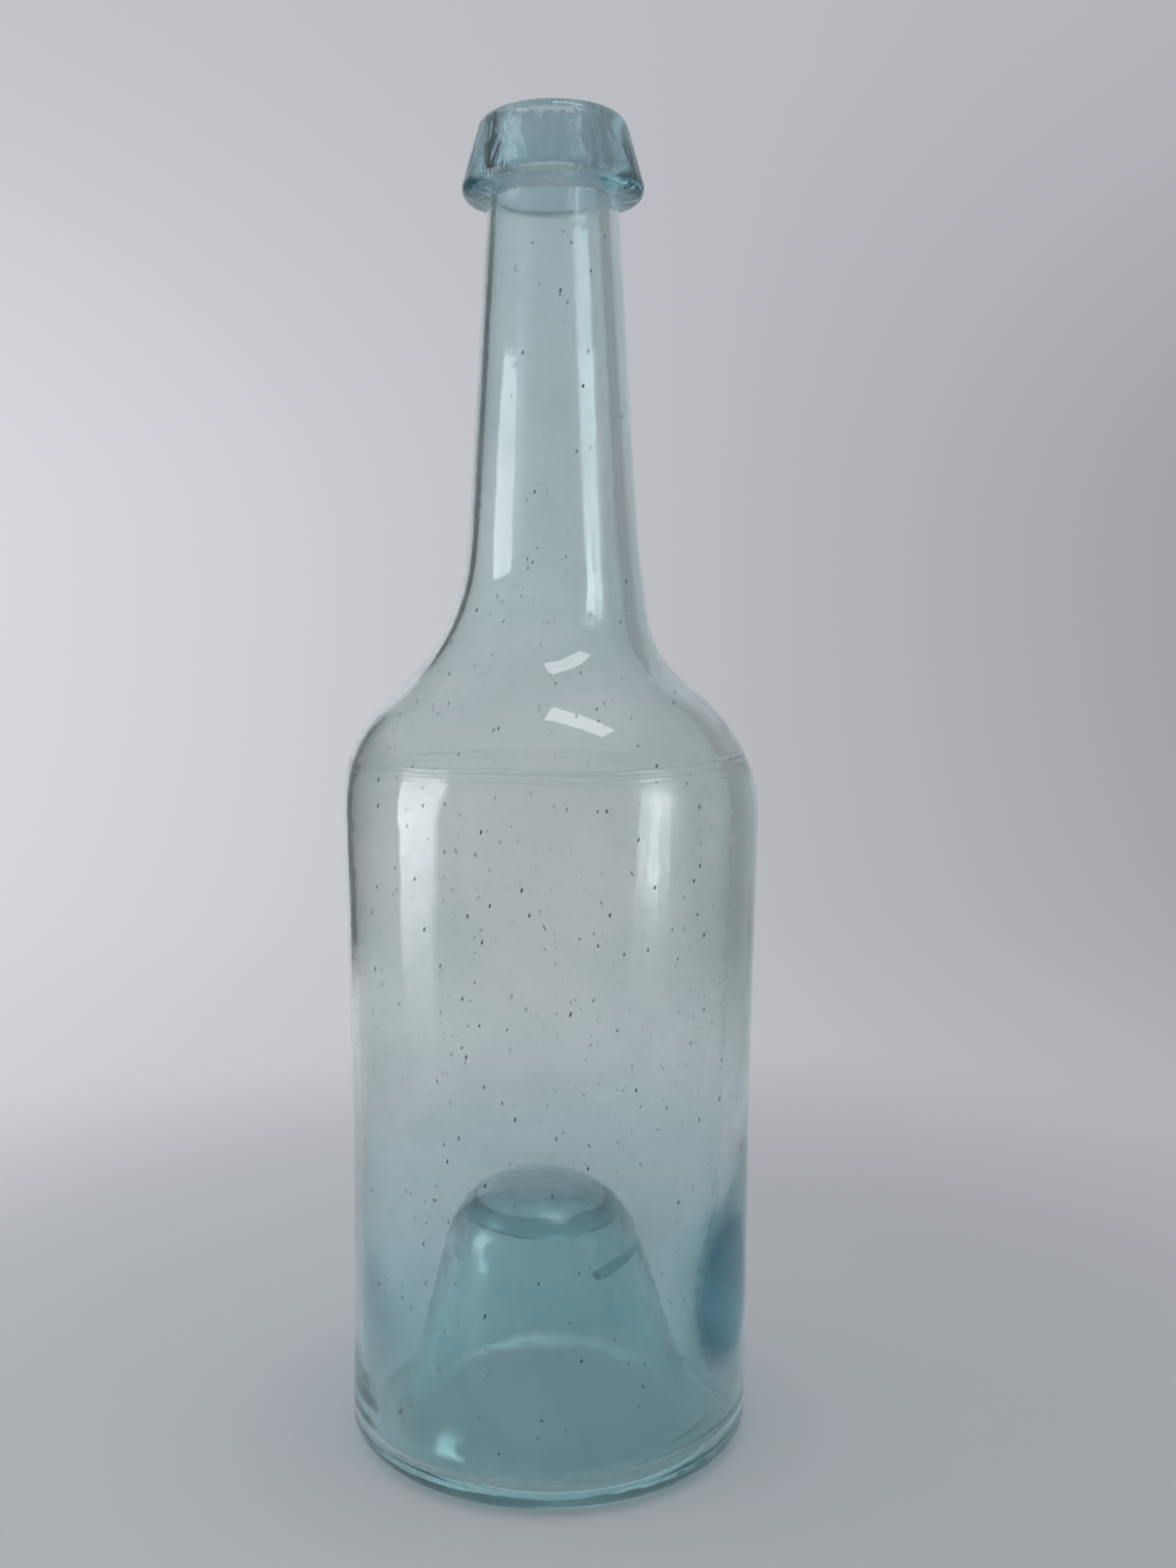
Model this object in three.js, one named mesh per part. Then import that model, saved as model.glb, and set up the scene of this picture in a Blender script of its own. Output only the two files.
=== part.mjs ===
// Mould-blown bottle with a long neck, a lip of separately applied glass and a deep push-up.
// Millimetres, +Z up. The origin is the centre of the ring that the bottle stands on, and -Y is the front.
import * as THREE from 'three';

const { clamp, degToRad, lerp, mapLinear } = THREE.MathUtils;

// Heights, measured up from the surface that the bottle stands on
const bottleHeight = 290;
const shoulderHeight = 155.3;
const waistHeight = 68;
const shoulderRise = 20.5;
const neckRootRise = 17.8;
const neckEndDepth = 6.5;
const kickHeight = 57;
const floorThickness = 4.6;

// Outside of the blown body: its radius at the heel, how the wall draws in and swells above it, and the neck
const heelRadius = 44.9;
const waistDraw = 0.3;
const bellySwell = 1.5;
const neckFootRadius = 23.6;
const neckRootRadius = 19.2;
const neckEndRadius = 13.5;

// Roundings of the outside
const heelFillet = 5;
const waistFillet = 400;
const shoulderFillet = 33;
const neckFootFillet = 28;
const neckRootFillet = 110;

// Walls of the blown body
const bodyWall = 3.9;
const shoulderWall = 3.5;
const neckWall = 3.3;
const neckEndWall = 3.0;
const kickWall = 4.5;

// Push-up, a cone with a rounded top, and the trough round its foot
const troughWidth = 6.8;
const kickShoulderRadius = 17.1;
const kickDomeFillet = 18.5;
const kickFootFillet = 6;
const troughWallFillet = 3.4;
const troughKickFillet = 2.6;

// Lip, a band of hot glass laid round the end of the neck and tooled to a sloping collar
const lipHeight = 17.4;
const lipTopRadius = 15.6;
const lipSkirtRadius = 20.4;
const lipUnderRise = 2.2;
const lipTopFillet = 3;
const lipMouthFillet = 1;
const lipSkirtFillet = 2.2;
const lipSeatClearance = 0.3;

// Glass that the pontil rod left on the underside of the push-up
const scarRadius = 14.4;
const scarWidth = 3.4;
const scarThickness = 1.7;
const stringRadius = 0.9;
const stringDrop = 2.2;
const stringFall = 6.1;
const stringLift = 0.25;
const scarClearance = 0.3;

// Unevenness of the hand work: how far each part strays to the side from a true turned shape
const heelOffset = -0.5;
const shoulderOffset = -1.4;
const shoulderOffsetDepth = 7;
const neckOffset = 0.5;
const bodyBoreOffset = -1.3;
const neckBoreOffset = -0.8;
const boreOffsetRise = 18;
const kickOffset = -1.5;

// Floor of the trough that stands higher on the right, a thicker patch in the wall, and uneven edges
const floorTiltHeight = 2;
const floorTiltRise = 24;
const thickPatchDepth = 3.2;
const thickPatchHeight = 36;
const thickPatchReach = 22;
const thickPatchAngle = degToRad(38);
const lipSkirtWaveHeight = 0.5;
const scarSwellHeight = 0.6;

// Facets
const facetCount = 56;
const facetAngle = degToRad(12);

// Materials
const aquaGlass = { color: 0xb4ccd0, roughness: 0.06, metalness: 0, transparent: true, opacity: 0.45 };
const lipGlass = { color: 0x86aab2, roughness: 0.08, metalness: 0, transparent: true, opacity: 0.6 };
const pontilGlass = { color: 0x7ea4aa, roughness: 0.2, metalness: 0, transparent: true, opacity: 0.7 };

// Sizes that follow from the ones above
const neckEndHeight = bottleHeight - neckEndDepth;
const lipJoinHeight = bottleHeight - lipHeight;
const neckFootHeight = shoulderHeight + shoulderRise;
const neckRootHeight = neckFootHeight + neckRootRise;
const waistRadius = heelRadius - waistDraw;
const bellyRadius = heelRadius + bellySwell;
const kickFootRadius = heelRadius - bodyWall - troughWidth;
const undersideHeight = kickHeight - kickWall;
const kickSlope = (kickFootRadius - kickShoulderRadius) / (kickHeight - floorThickness);
const kickWallAcross = kickWall * Math.hypot(1, kickSlope);

const point = (radius, height) => new THREE.Vector2(radius, height);

// A line through corners of the form { at, fillet }, each rounded by an arc that touches both of its sides
function roundedLine(corners) {
  return corners.flatMap(({ at, fillet }, i) => {
    if (!fillet) return [at];
    const back = corners[i - 1].at.clone().sub(at).normalize();
    const ahead = corners[i + 1].at.clone().sub(at).normalize();
    const halfAngle = Math.acos(clamp(back.dot(ahead), -1, 1)) / 2;
    const middle = back.clone().add(ahead).normalize();
    const centre = at.clone().addScaledVector(middle, fillet / Math.sin(halfAngle));
    const turn = Math.PI - 2 * halfAngle;
    const steps = Math.max(2, Math.ceil(turn / facetAngle));
    const side = Math.sign(back.cross(ahead));
    const start = at.clone().addScaledVector(back, fillet / Math.tan(halfAngle));
    return Array.from({ length: steps + 1 }, (_, k) => (
      start.clone().rotateAround(centre, -side * turn * k / steps)
    ));
  });
}

// The corner that lies a wall's thickness inside an outside corner, with the fillet that keeps the wall even
function cornerInside(corners, i, wall) {
  const { at, fillet } = corners[i];
  const before = at.clone().sub(corners[i - 1].at).normalize();
  const after = corners[i + 1].at.clone().sub(at).normalize();
  const turn = before.cross(after);
  const inward = before.clone().add(after).normalize().rotateAround(point(0, 0), Math.PI / 2);
  const halfTurn = Math.asin(clamp(turn, -1, 1)) / 2;
  return {
    at: at.clone().addScaledVector(inward, wall / Math.cos(halfTurn)),
    fillet: fillet - Math.sign(turn) * wall,
  };
}

// Height of a line at a radius, for pieces that lie against it
function heightAt(line, radius) {
  const i = line.findIndex((p, k) => k > 0 && p.x >= radius);
  const [a, b] = [line[i - 1], line[i]];
  return mapLinear(radius, a.x, b.x, a.y, b.y);
}

// Radius of the push-up's underside at a height, on its cone and its dome
function radiusAt(line, height) {
  const i = line.findIndex((p, k) => k > 0 && p.y <= height);
  const [a, b] = [line[i - 1], line[i]];
  return mapLinear(height, a.y, b.y, a.x, b.x);
}

const smooth = (x, low, high) => THREE.MathUtils.smoothstep(x, low, high);

// Sideways stray of the outside of the blown body at a height
function outsideDrift(z) {
  const shoulderTop = neckFootHeight - shoulderOffsetDepth;
  const shoulder = smooth(z, shoulderHeight - shoulderFillet / 2, shoulderTop)
    * (1 - smooth(z, shoulderTop, neckRootHeight));
  const neck = smooth(z, neckFootHeight, neckRootHeight);
  const heel = 1 - smooth(z, 0, waistHeight / 2);
  return heelOffset * heel + shoulderOffset * shoulder + neckOffset * neck;
}

// Sideways stray of the hollow inside it, which leaves the right-hand wall thicker than the left
function insideDrift(z) {
  const rise = smooth(z, floorThickness, floorThickness + boreOffsetRise);
  const offset = lerp(bodyBoreOffset, neckBoreOffset, smooth(z, shoulderHeight, neckRootHeight));
  return outsideDrift(z) + rise * offset;
}

// Sideways stray of the push-up, whose foot stays in the middle of the heel
const kickDrift = (z) => lerp(heelOffset, kickOffset, smooth(z, floorThickness, kickHeight));

// Lump of thicker glass low on the right-hand wall, on the inside
function thickPatch(z, angle) {
  const up = (z - thickPatchHeight) / thickPatchReach;
  const round = (angle - Math.PI / 2) / thickPatchAngle;
  return thickPatchDepth * Math.exp(-(up ** 2) - round ** 2);
}

// Turns an outline about the axis. strayOf gives the change of radius, sideways place and height of a
// point of the outline at an angle, counted from the front towards the right
function turned(outline, strayOf) {
  const solid = new THREE.LatheGeometry(outline, facetCount);
  solid.rotateX(Math.PI / 2);
  const places = solid.attributes.position;
  for (let i = 0; i < places.count; i++) {
    const k = i % outline.length;
    const angle = 2 * Math.PI * (Math.floor(i / outline.length) % facetCount) / facetCount;
    const { radius = 0, across = 0, height = 0 } = strayOf(outline[k], angle, k);
    const reach = outline[k].x + (outline[k].x > 0 ? radius : 0);
    places.setXYZ(i, reach * Math.sin(angle) + across, -reach * Math.cos(angle), outline[k].y + height);
  }
  return solid;
}

function piece(name, geometry, material) {
  const mesh = new THREE.Mesh(geometry, new THREE.MeshStandardMaterial(material));
  mesh.name = name;
  return mesh;
}

// Underside of the push-up, from the axis down to its foot
const underside = [
  { at: point(0, undersideHeight) },
  { at: point(kickShoulderRadius + kickWall * kickSlope - kickWallAcross, undersideHeight),
    fillet: kickDomeFillet - kickWall },
  { at: point(kickFootRadius + floorThickness * kickSlope - kickWallAcross, 0), fillet: kickFootFillet },
];

// Outside of the body, from the heel up to the end of the neck
const outside = [
  { at: point(heelRadius, 0), fillet: heelFillet },
  { at: point(waistRadius, waistHeight), fillet: waistFillet },
  { at: point(bellyRadius, shoulderHeight), fillet: shoulderFillet },
  { at: point(neckFootRadius, neckFootHeight), fillet: neckFootFillet },
  { at: point(neckRootRadius, neckRootHeight), fillet: neckRootFillet },
  { at: point(neckEndRadius, neckEndHeight) },
];

// Inside of the body, from the end of the neck down to the trough, and over the top of the push-up.
// The straight wall above the trough has points of its own, because the patch of thicker glass bends it
const waistInside = cornerInside(outside, 1, bodyWall);
const troughCorner = point(heelRadius - bodyWall, floorThickness);
const patchCorners = [1, 0.5, 0, -0.5, -1].map((part) => {
  const z = thickPatchHeight + part * thickPatchReach;
  const { at } = waistInside;
  return { at: point(mapLinear(z, at.y, troughCorner.y, at.x, troughCorner.x), z) };
});
const inside = [
  { at: point(neckEndRadius - neckEndWall, neckEndHeight) },
  cornerInside(outside, 4, neckWall),
  cornerInside(outside, 3, shoulderWall),
  cornerInside(outside, 2, shoulderWall),
  waistInside,
  ...patchCorners,
  { at: troughCorner, fillet: troughWallFillet },
  { at: point(kickFootRadius, floorThickness), fillet: troughKickFillet },
  { at: point(kickShoulderRadius, kickHeight), fillet: kickDomeFillet },
  { at: point(0, kickHeight) },
];

const undersideLine = roundedLine([...underside, { at: outside[0].at }]);

function bottleBody() {
  const wallLine = roundedLine([...underside, ...outside]);
  const hollowLine = roundedLine(inside);
  const restingHeel = wallLine.findIndex((p, i) => i > 0 && p.y === 0 && p.x > heelRadius - 2 * heelFillet);
  const troughMiddle = kickFootRadius + troughWidth / 2;
  const troughEnd = hollowLine.findLastIndex((p) => p.x > troughMiddle) + 1;
  const stray = (at, angle, k) => {
    const onHollow = k >= wallLine.length;
    const onKick = onHollow ? k - wallLine.length >= troughEnd : k < restingHeel;
    if (!onHollow) return { across: onKick ? kickDrift(at.y) : outsideDrift(at.y) };
    const nearFloor = 1 - smooth(at.y, floorThickness, floorThickness + floorTiltRise);
    const height = floorTiltHeight * Math.sin(angle) * nearFloor;
    if (onKick) return { across: kickDrift(at.y), height };
    return { across: insideDrift(at.y), radius: -thickPatch(at.y, angle), height };
  };
  return turned([...wallLine, ...hollowLine], stray);
}

// The lip covers the outside of the neck's end and closes over its rim, and its hole carries the bore on
function appliedLip() {
  const boreRadius = neckEndRadius - neckEndWall;
  const neckSlope = (neckRootRadius - neckEndRadius) / (neckEndHeight - neckRootHeight);
  const neckAt = (z) => neckEndRadius + (neckEndHeight - z) * neckSlope + lipSeatClearance;
  const seat = [
    { at: point(boreRadius, neckEndHeight) },
    { at: point(neckAt(neckEndHeight), neckEndHeight) },
    { at: point(neckAt(lipJoinHeight), lipJoinHeight) },
  ];
  const collar = [
    { at: point(lipSkirtRadius, lipJoinHeight + lipUnderRise), fillet: lipSkirtFillet },
    { at: point(lipTopRadius, bottleHeight), fillet: lipTopFillet },
    { at: point(boreRadius, bottleHeight), fillet: lipMouthFillet },
    { at: point(boreRadius, neckEndHeight) },
  ];
  const outline = roundedLine([...seat, ...collar]);
  const stray = (at, angle) => {
    const low = 1 - smooth(at.y, lipJoinHeight, lipJoinHeight + lipHeight / 2);
    const fromBore = smooth(at.x, boreRadius, neckEndRadius);
    const across = lerp(insideDrift(at.y), outsideDrift(at.y), fromBore);
    return { across, height: lipSkirtWaveHeight * Math.cos(2 * angle) * low };
  };
  return turned(outline, stray);
}

// The scar is a ring of glass under the push-up's dome, thicker at its back where the rod broke away
function pontilScar() {
  const [inner, outer] = [scarRadius - scarWidth / 2, scarRadius + scarWidth / 2];
  const seatAt = (r) => heightAt(undersideLine, r) - scarClearance;
  const edge = scarThickness / 3;
  const outline = [
    point(inner, seatAt(inner)),
    point(inner, seatAt(inner) - edge),
    point(scarRadius - scarWidth / 6, seatAt(scarRadius - scarWidth / 6) - scarThickness),
    point(scarRadius + scarWidth / 6, seatAt(scarRadius + scarWidth / 6) - scarThickness),
    point(outer, seatAt(outer) - edge),
    point(outer, seatAt(outer)),
    point(scarRadius, seatAt(scarRadius)),
    point(inner, seatAt(inner)),
  ];
  const stray = (at, angle, k) => {
    const onFace = k === 2 || k === 3;
    const swell = onFace ? scarSwellHeight * (1 - Math.cos(angle)) / 2 : 0;
    return { across: kickDrift(at.y), height: -swell };
  };
  return turned(outline, stray);
}

// The string is a thread of the same glass that trailed down the right of the push-up's underside
function pontilString() {
  const course = [[32, 1], [39, 0.8], [47, 0.5], [55, 0.1], [62, 0], [66, 0.3]];
  const top = heightAt(undersideLine, scarRadius + scarWidth / 2) - stringDrop;
  const seatDepth = (stringRadius + scarClearance) * Math.hypot(1, kickSlope) + stringLift;
  const places = course.map(([degrees, share]) => {
    const angle = degToRad(degrees);
    const z = top - share * stringFall;
    const reach = radiusAt(undersideLine, z) - seatDepth;
    return new THREE.Vector3(reach * Math.sin(angle) + kickDrift(z), -reach * Math.cos(angle), z);
  });
  const section = new THREE.Shape().absarc(0, 0, stringRadius, 0, 2 * Math.PI);
  return new THREE.ExtrudeGeometry(section, {
    steps: 14,
    curveSegments: 4,
    bevelEnabled: false,
    extrudePath: new THREE.CatmullRomCurve3(places),
  });
}

const bottle = new THREE.Group();
bottle.add(piece('bottle_body', bottleBody(), aquaGlass));
bottle.add(piece('applied_lip', appliedLip(), lipGlass));
bottle.add(piece('pontil_scar', pontilScar(), pontilGlass));
bottle.add(piece('pontil_string', pontilString(), pontilGlass));

export default bottle;
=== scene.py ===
# %% [markdown]
# This lesson dresses a hand-blown glass bottle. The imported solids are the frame: they give the size and
# the place of every piece. Each piece below is a finer mesh that stands for one of them, and all of them
# ride on one body, because nothing on a bottle moves.

# %% Load the frame
import math

import bmesh
import bpy
from mathutils import Matrix, Vector


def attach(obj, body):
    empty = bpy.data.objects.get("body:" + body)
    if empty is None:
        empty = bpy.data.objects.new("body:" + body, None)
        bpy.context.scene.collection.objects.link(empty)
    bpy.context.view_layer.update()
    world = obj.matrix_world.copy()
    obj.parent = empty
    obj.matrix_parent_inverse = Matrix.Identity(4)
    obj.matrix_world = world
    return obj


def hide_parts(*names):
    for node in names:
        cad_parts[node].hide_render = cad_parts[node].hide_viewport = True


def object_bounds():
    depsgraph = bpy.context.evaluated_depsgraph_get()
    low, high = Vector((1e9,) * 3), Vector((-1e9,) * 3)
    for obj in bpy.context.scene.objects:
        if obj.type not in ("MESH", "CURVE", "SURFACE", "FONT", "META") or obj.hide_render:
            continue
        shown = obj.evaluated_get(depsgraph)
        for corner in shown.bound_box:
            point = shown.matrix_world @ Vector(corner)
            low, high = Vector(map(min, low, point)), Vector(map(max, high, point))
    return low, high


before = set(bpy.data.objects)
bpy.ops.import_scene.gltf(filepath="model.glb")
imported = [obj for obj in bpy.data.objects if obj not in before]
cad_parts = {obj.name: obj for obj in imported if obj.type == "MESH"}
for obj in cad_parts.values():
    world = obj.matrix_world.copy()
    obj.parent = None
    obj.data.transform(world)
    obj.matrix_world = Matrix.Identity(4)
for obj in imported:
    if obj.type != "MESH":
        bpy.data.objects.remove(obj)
cad_low, cad_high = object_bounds()
MM = 0.001
print("solids:", sorted(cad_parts), "height in mm:", round(cad_high.z / MM, 1))

# %% [markdown]
# The photograph was taken from close by, so the lip is seen from below and the base from above. The
# camera could be set by eye, but then every outline would be a little off. Its place and tilt come from
# how round the lip, the shoulder seam and the base look, and the lens is given in pixels of the 1200 by
# 1600 picture. A small shift puts the bottle left of the middle.

# %% Camera
picture_width, picture_height = 1200, 1600
focal_length_pixels = 1581.5
axis_column = 562
camera_place = (0, -345.8 * MM, 176.2 * MM)
camera_tilt = math.radians(4.96)

camera = bpy.data.objects.new("camera", bpy.data.cameras.new("camera"))
camera.data.sensor_width = 36
camera.data.lens = focal_length_pixels / picture_height * camera.data.sensor_width
camera.data.shift_x = (picture_width / 2 - axis_column) / picture_height
camera.data.clip_start = 0.01
camera.location = camera_place
camera.rotation_euler = (math.pi / 2 - camera_tilt, 0, 0)
bpy.context.scene.collection.objects.link(camera)
bpy.context.scene.camera = camera
print("lens in mm:", round(camera.data.lens, 2))

# %% [markdown]
# Node trees could be clicked together by hand, but a script that writes them can be read and run again.
# A few small helpers keep it short. One adds a node and fills its sockets from a dictionary, where a
# value is either a plain value or another node's output. The others do sums, ramps and mixes.


# %% Helpers for node trees
def add(tree, kind, sockets=None, **settings):
    """A node of this kind, with its settings, and its input sockets filled or linked."""
    made = tree.nodes.new(kind)
    for name, value in settings.items():
        setattr(made, name, value)
    for name, value in (sockets or {}).items():
        if isinstance(value, bpy.types.NodeSocket):
            tree.links.new(value, made.inputs[name])
        else:
            made.inputs[name].default_value = value
    return made


def maths(tree, operation, *values):
    """The result of a Math node on numbers or outputs."""
    return add(tree, "ShaderNodeMath", dict(enumerate(values)), operation=operation).outputs[0]


def ramped(tree, value, low, high, start=0.0, stop=1.0, kind="SMOOTHSTEP"):
    """Start where the value is low, stop where it is high, and a soft or LINEAR way between them."""
    return add(tree, "ShaderNodeMapRange", {
        "Value": value, "From Min": low, "From Max": high, "To Min": start, "To Max": stop},
        interpolation_type=kind).outputs[0]


def between(tree, share, first, second):
    """A number that goes from the first to the second by this share."""
    return add(tree, "ShaderNodeMix", {0: share, 2: first, 3: second}, data_type="FLOAT").outputs[0]


def mixed(tree, share, first, second, blend="MIX"):
    """A colour that goes from the first to the second, or is dyed by the second with MULTIPLY."""
    return add(tree, "ShaderNodeMix", {0: share, 6: first, 7: second}, data_type="RGBA",
               blend_type=blend).outputs[2]


print("helpers:", [helper.__name__ for helper in (add, maths, ramped, between, mixed)])

# %% [markdown]
# Glass shows its surroundings more than itself, so the studio matters. A floor and a flat backdrop would
# do for one view, but glass mirrors and bends in the whole room. So the floor is a wide pale disc that
# turns up into a low wall all round, like a bowl, and there is no horizon from any side.

# %% Sizes and tones of the studio
floor_radius, sweep_radius, wall_height = 0.62, 0.25, 1.0
floor_gap = 0.0002
# The paper's colour is painted darker on the right, as shade from the light on the left.
paper_painted_lit, paper_painted_shade = (0.43, 0.437, 0.455, 1), (0.365, 0.37, 0.385, 1)
wall_warm, wall_cool = (0.985, 1.0, 1.045, 1), (0.98, 1.0, 1.065, 1)
# The far paper glows with painted light: brighter on the left, as a wall lit by a window.
wall_painted_light, wall_painted_light_top = 0.54, 0.51
window_side_gain, window_side_gain_top = -0.38, -0.09
tone_heights, tint_heights, side_reach = (0.25, 0.7), (0.1, 0.6), 0.5
# Painted shade: behind the camera and beside the backdrop the far paper is darker, most of all in mirrored
# rays.
room_painted_shade, room_painted_shade_mirrored, room_reach = 0.42, 0.25, -0.6
mirrored_left, mirrored_right, mirrored_high = 0.06, 0.28, 0.22
paper_span, mirrored_span, high_wall = (-0.1, 0.2), (-0.2, 0.3), (0.51, 0.55)
near_paper, off_floor, beside_backdrop = (0.13, 0.36), (0.4, 0.6), (0.5, 0.57)
# Rays in solid glass, as in the lip, see the far paper painted darker by this share.
solid_glass_depth, solid_glass_painted_shade = 2.0, 0.9
print("studio across in m:", 2 * (floor_radius + sweep_radius))

# %% [markdown]
# Near the bottle the bowl is plain paper that takes shadows, painted a little darker towards the right.
# Further out it glows with painted light, seen by the eye and by the rays that glass mirrors or lets
# through, as a far wall by a window is lit: brighter on the left, and painted darker on the right, in the
# room behind the camera and in rays through solid glass. Stronger lamps could light it so as well, but
# they would burn out the glass.


# %% Paper and painted light of the studio
def far_painted_light(tree, place, distance, path):
    """Painted light of the far paper: brighter left, darker beside and behind the camera in mirrored rays."""
    across = ramped(tree, place["X"], -side_reach, side_reach, -side_reach, side_reach, "LINEAR")
    tone = ramped(tree, place["Z"], *tone_heights, wall_painted_light, wall_painted_light_top)
    gain = ramped(tree, place["Z"], *tone_heights, window_side_gain, window_side_gain_top)
    tone = maths(tree, "ADD", tone, maths(tree, "MULTIPLY", across, gain))
    # Painted shade: the room behind the camera is darker, and darker still in mirrored rays.
    behind_camera = ramped(tree, place["Y"], 0.0, room_reach)
    room = ramped(tree, path["Glossy Depth"], 0.0, 1.0, room_painted_shade, room_painted_shade_mirrored)
    tone = between(tree, behind_camera, tone, room)
    sideways = maths(tree, "DIVIDE", maths(tree, "ABSOLUTE", place["X"]), distance)
    dim_places = maths(tree, "MULTIPLY", ramped(tree, distance, *off_floor), maths(
        tree, "MAXIMUM", ramped(tree, sideways, *beside_backdrop), behind_camera))
    mirrored = maths(tree, "MINIMUM", path["Glossy Depth"], 1.0)
    # Painted shade: seen through solid glass, as in the lip, the far paper is darker too.
    painted_shade_in_solid_glass = maths(tree, "MULTIPLY", maths(
        tree, "COMPARE", path["Transmission Depth"], solid_glass_depth, 0.5), solid_glass_painted_shade)
    dimmed = maths(tree, "MULTIPLY", maths(tree, "MAXIMUM", mirrored, painted_shade_in_solid_glass), dim_places)
    # Where it is dimmed, the paper shows a painted shade, lighter towards the right and, in mirrored rays,
    # high up.
    low_tone = ramped(tree, place["X"], *mirrored_span, mirrored_left, mirrored_right)
    high_tone = maths(tree, "MULTIPLY", mirrored, ramped(tree, place["Z"], *high_wall, 0.0, mirrored_high))
    return between(tree, dimmed, tone, maths(tree, "MAXIMUM", low_tone, high_tone))


def studio_material():
    material = bpy.data.materials.new("paper_and_painted_light")
    material.use_nodes = True
    tree = material.node_tree
    shader = tree.nodes["Principled BSDF"]
    shader.inputs["Roughness"].default_value = 0.9
    shader.inputs["Specular IOR Level"].default_value = 0.1
    place = add(tree, "ShaderNodeSeparateXYZ", {0: add(tree, "ShaderNodeTexCoord").outputs["Object"]}).outputs
    flat_place = add(tree, "ShaderNodeCombineXYZ", {0: place["X"], 1: place["Y"]}).outputs[0]
    distance = add(tree, "ShaderNodeVectorMath", {0: flat_place}, operation="LENGTH").outputs["Value"]
    path = add(tree, "ShaderNodeLightPath").outputs
    # Painted shade: the paper near the bottle is a little darker towards the right.
    tree.links.new(mixed(tree, ramped(tree, place["X"], *paper_span), paper_painted_lit, paper_painted_shade),
                   shader.inputs["Base Color"])
    tint = mixed(tree, ramped(tree, place["Z"], *tint_heights), wall_warm, wall_cool)
    # Far out the paper glows with painted light, seen by the eye and by rays that glass mirrors or lets
    # through.
    glow = add(tree, "ShaderNodeEmission", {"Color": tint, "Strength": far_painted_light(tree, place, distance, path)})
    seen = maths(tree, "MAXIMUM", path["Is Camera Ray"], maths(
        tree, "MAXIMUM", path["Is Glossy Ray"], path["Is Transmission Ray"]))
    far = ramped(tree, distance, *near_paper)
    both = add(tree, "ShaderNodeMixShader", {0: maths(tree, "MULTIPLY", seen, far), 1: shader.outputs[0],
                                             2: glow.outputs[0]})
    tree.links.new(both.outputs[0], tree.nodes["Material Output"].inputs["Surface"])
    material.cycles.emission_sampling = "NONE"
    return material


paper_and_painted_light = studio_material()
print("nodes of the studio's paper:", len(paper_and_painted_light.node_tree.nodes))

# %% [markdown]
# The bowl itself is a line of points turned round the axis: the floor, a quarter arc, and the wall. A
# bent plane could do the same, but only for one side. The floor lies a hair below the bottle, so that
# the glass and the paper never share a surface.


# %% Floor and backdrop
def studio_bowl(spokes=96, arc_steps=12):
    line = [(floor_radius * share, 0.0) for share in (0, 1 / 3, 2 / 3)]
    for i in range(arc_steps + 1):
        turn = math.pi / 2 * i / arc_steps
        line.append((floor_radius + sweep_radius * math.sin(turn), sweep_radius * (1 - math.cos(turn))))
    line.append((floor_radius + sweep_radius, wall_height))
    places = [(r * math.cos(a), r * math.sin(a), z - floor_gap) for r, z in line
              for a in (2 * math.pi * k / spokes for k in range(spokes))]
    faces = [(i * spokes + k, i * spokes + (k + 1) % spokes, (i + 1) * spokes + (k + 1) % spokes,
              (i + 1) * spokes + k) for i in range(len(line) - 1) for k in range(spokes)]
    mesh = bpy.data.meshes.new("studio")
    mesh.from_pydata(places, [], faces)
    mesh.polygons.foreach_set("use_smooth", [True] * len(faces))
    bowl = bpy.data.objects.new("studio", mesh)
    bowl.data.materials.append(paper_and_painted_light)
    bpy.context.scene.collection.objects.link(bowl)
    return bowl


studio = studio_bowl()
print("studio faces:", len(studio.data.polygons))

# %% [markdown]
# The light is soft and plain, as from a window and a pale ceiling. An open sky above the bowl lights the
# paper at full strength and is a dim ceiling to every other ray. One bright sky for all rays would be
# simpler, but it would wash out the glass, which mirrors it everywhere.

# %% Sky
sky_colour = (0.93, 0.96, 1.0, 1)
sky_strength, ceiling_tone = 1.0, 0.4

world = bpy.data.worlds.new("sky")
world.use_nodes = True
sky = world.node_tree.nodes["Background"]
sky.inputs["Color"].default_value = sky_colour
lights_paper = add(world.node_tree, "ShaderNodeLightPath").outputs["Is Diffuse Ray"]
strength = ramped(world.node_tree, lights_paper, 0.0, 1.0, ceiling_tone, sky_strength, "LINEAR")
world.node_tree.links.new(strength, sky.inputs["Strength"])
world.cycles.sampling_method = "NONE"
bpy.context.scene.world = world
print("sky strength:", sky_strength, "as a ceiling:", ceiling_tone)

# %% [markdown]
# Four flat lamps shape the light. The panel above and in front draws the two bright marks on the
# shoulder, and a ceiling lamp and one lamp at each side give the floor its soft, slightly left-hand
# light. Glass would show every lamp as a hard bright square, so it mirrors the panel alone.

# %% Lamps
panel_size = (0.42, 0.155)
panel_turn = math.radians(-20)
panel_place = Vector((0.21, -0.186, 0.91))
panel_radiance, ceiling_radiance, left_radiance, right_radiance = 4.6, 2.6, 2.0, 1.2


def area_lamp(name, place, aim, size, radiance):
    """A flat lamp whose surface has this radiance, so its strength doesn't depend on its size."""
    lamp = bpy.data.lights.new(name, "AREA")
    lamp.shape = "RECTANGLE"
    lamp.size, lamp.size_y = size
    lamp.energy = radiance * math.pi * size[0] * size[1]
    made = bpy.data.objects.new(name, lamp)
    made.location = place
    made.rotation_euler = (Vector(aim) - Vector(place)).to_track_quat("-Z", "Y").to_euler()
    bpy.context.scene.collection.objects.link(made)
    return made


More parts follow.
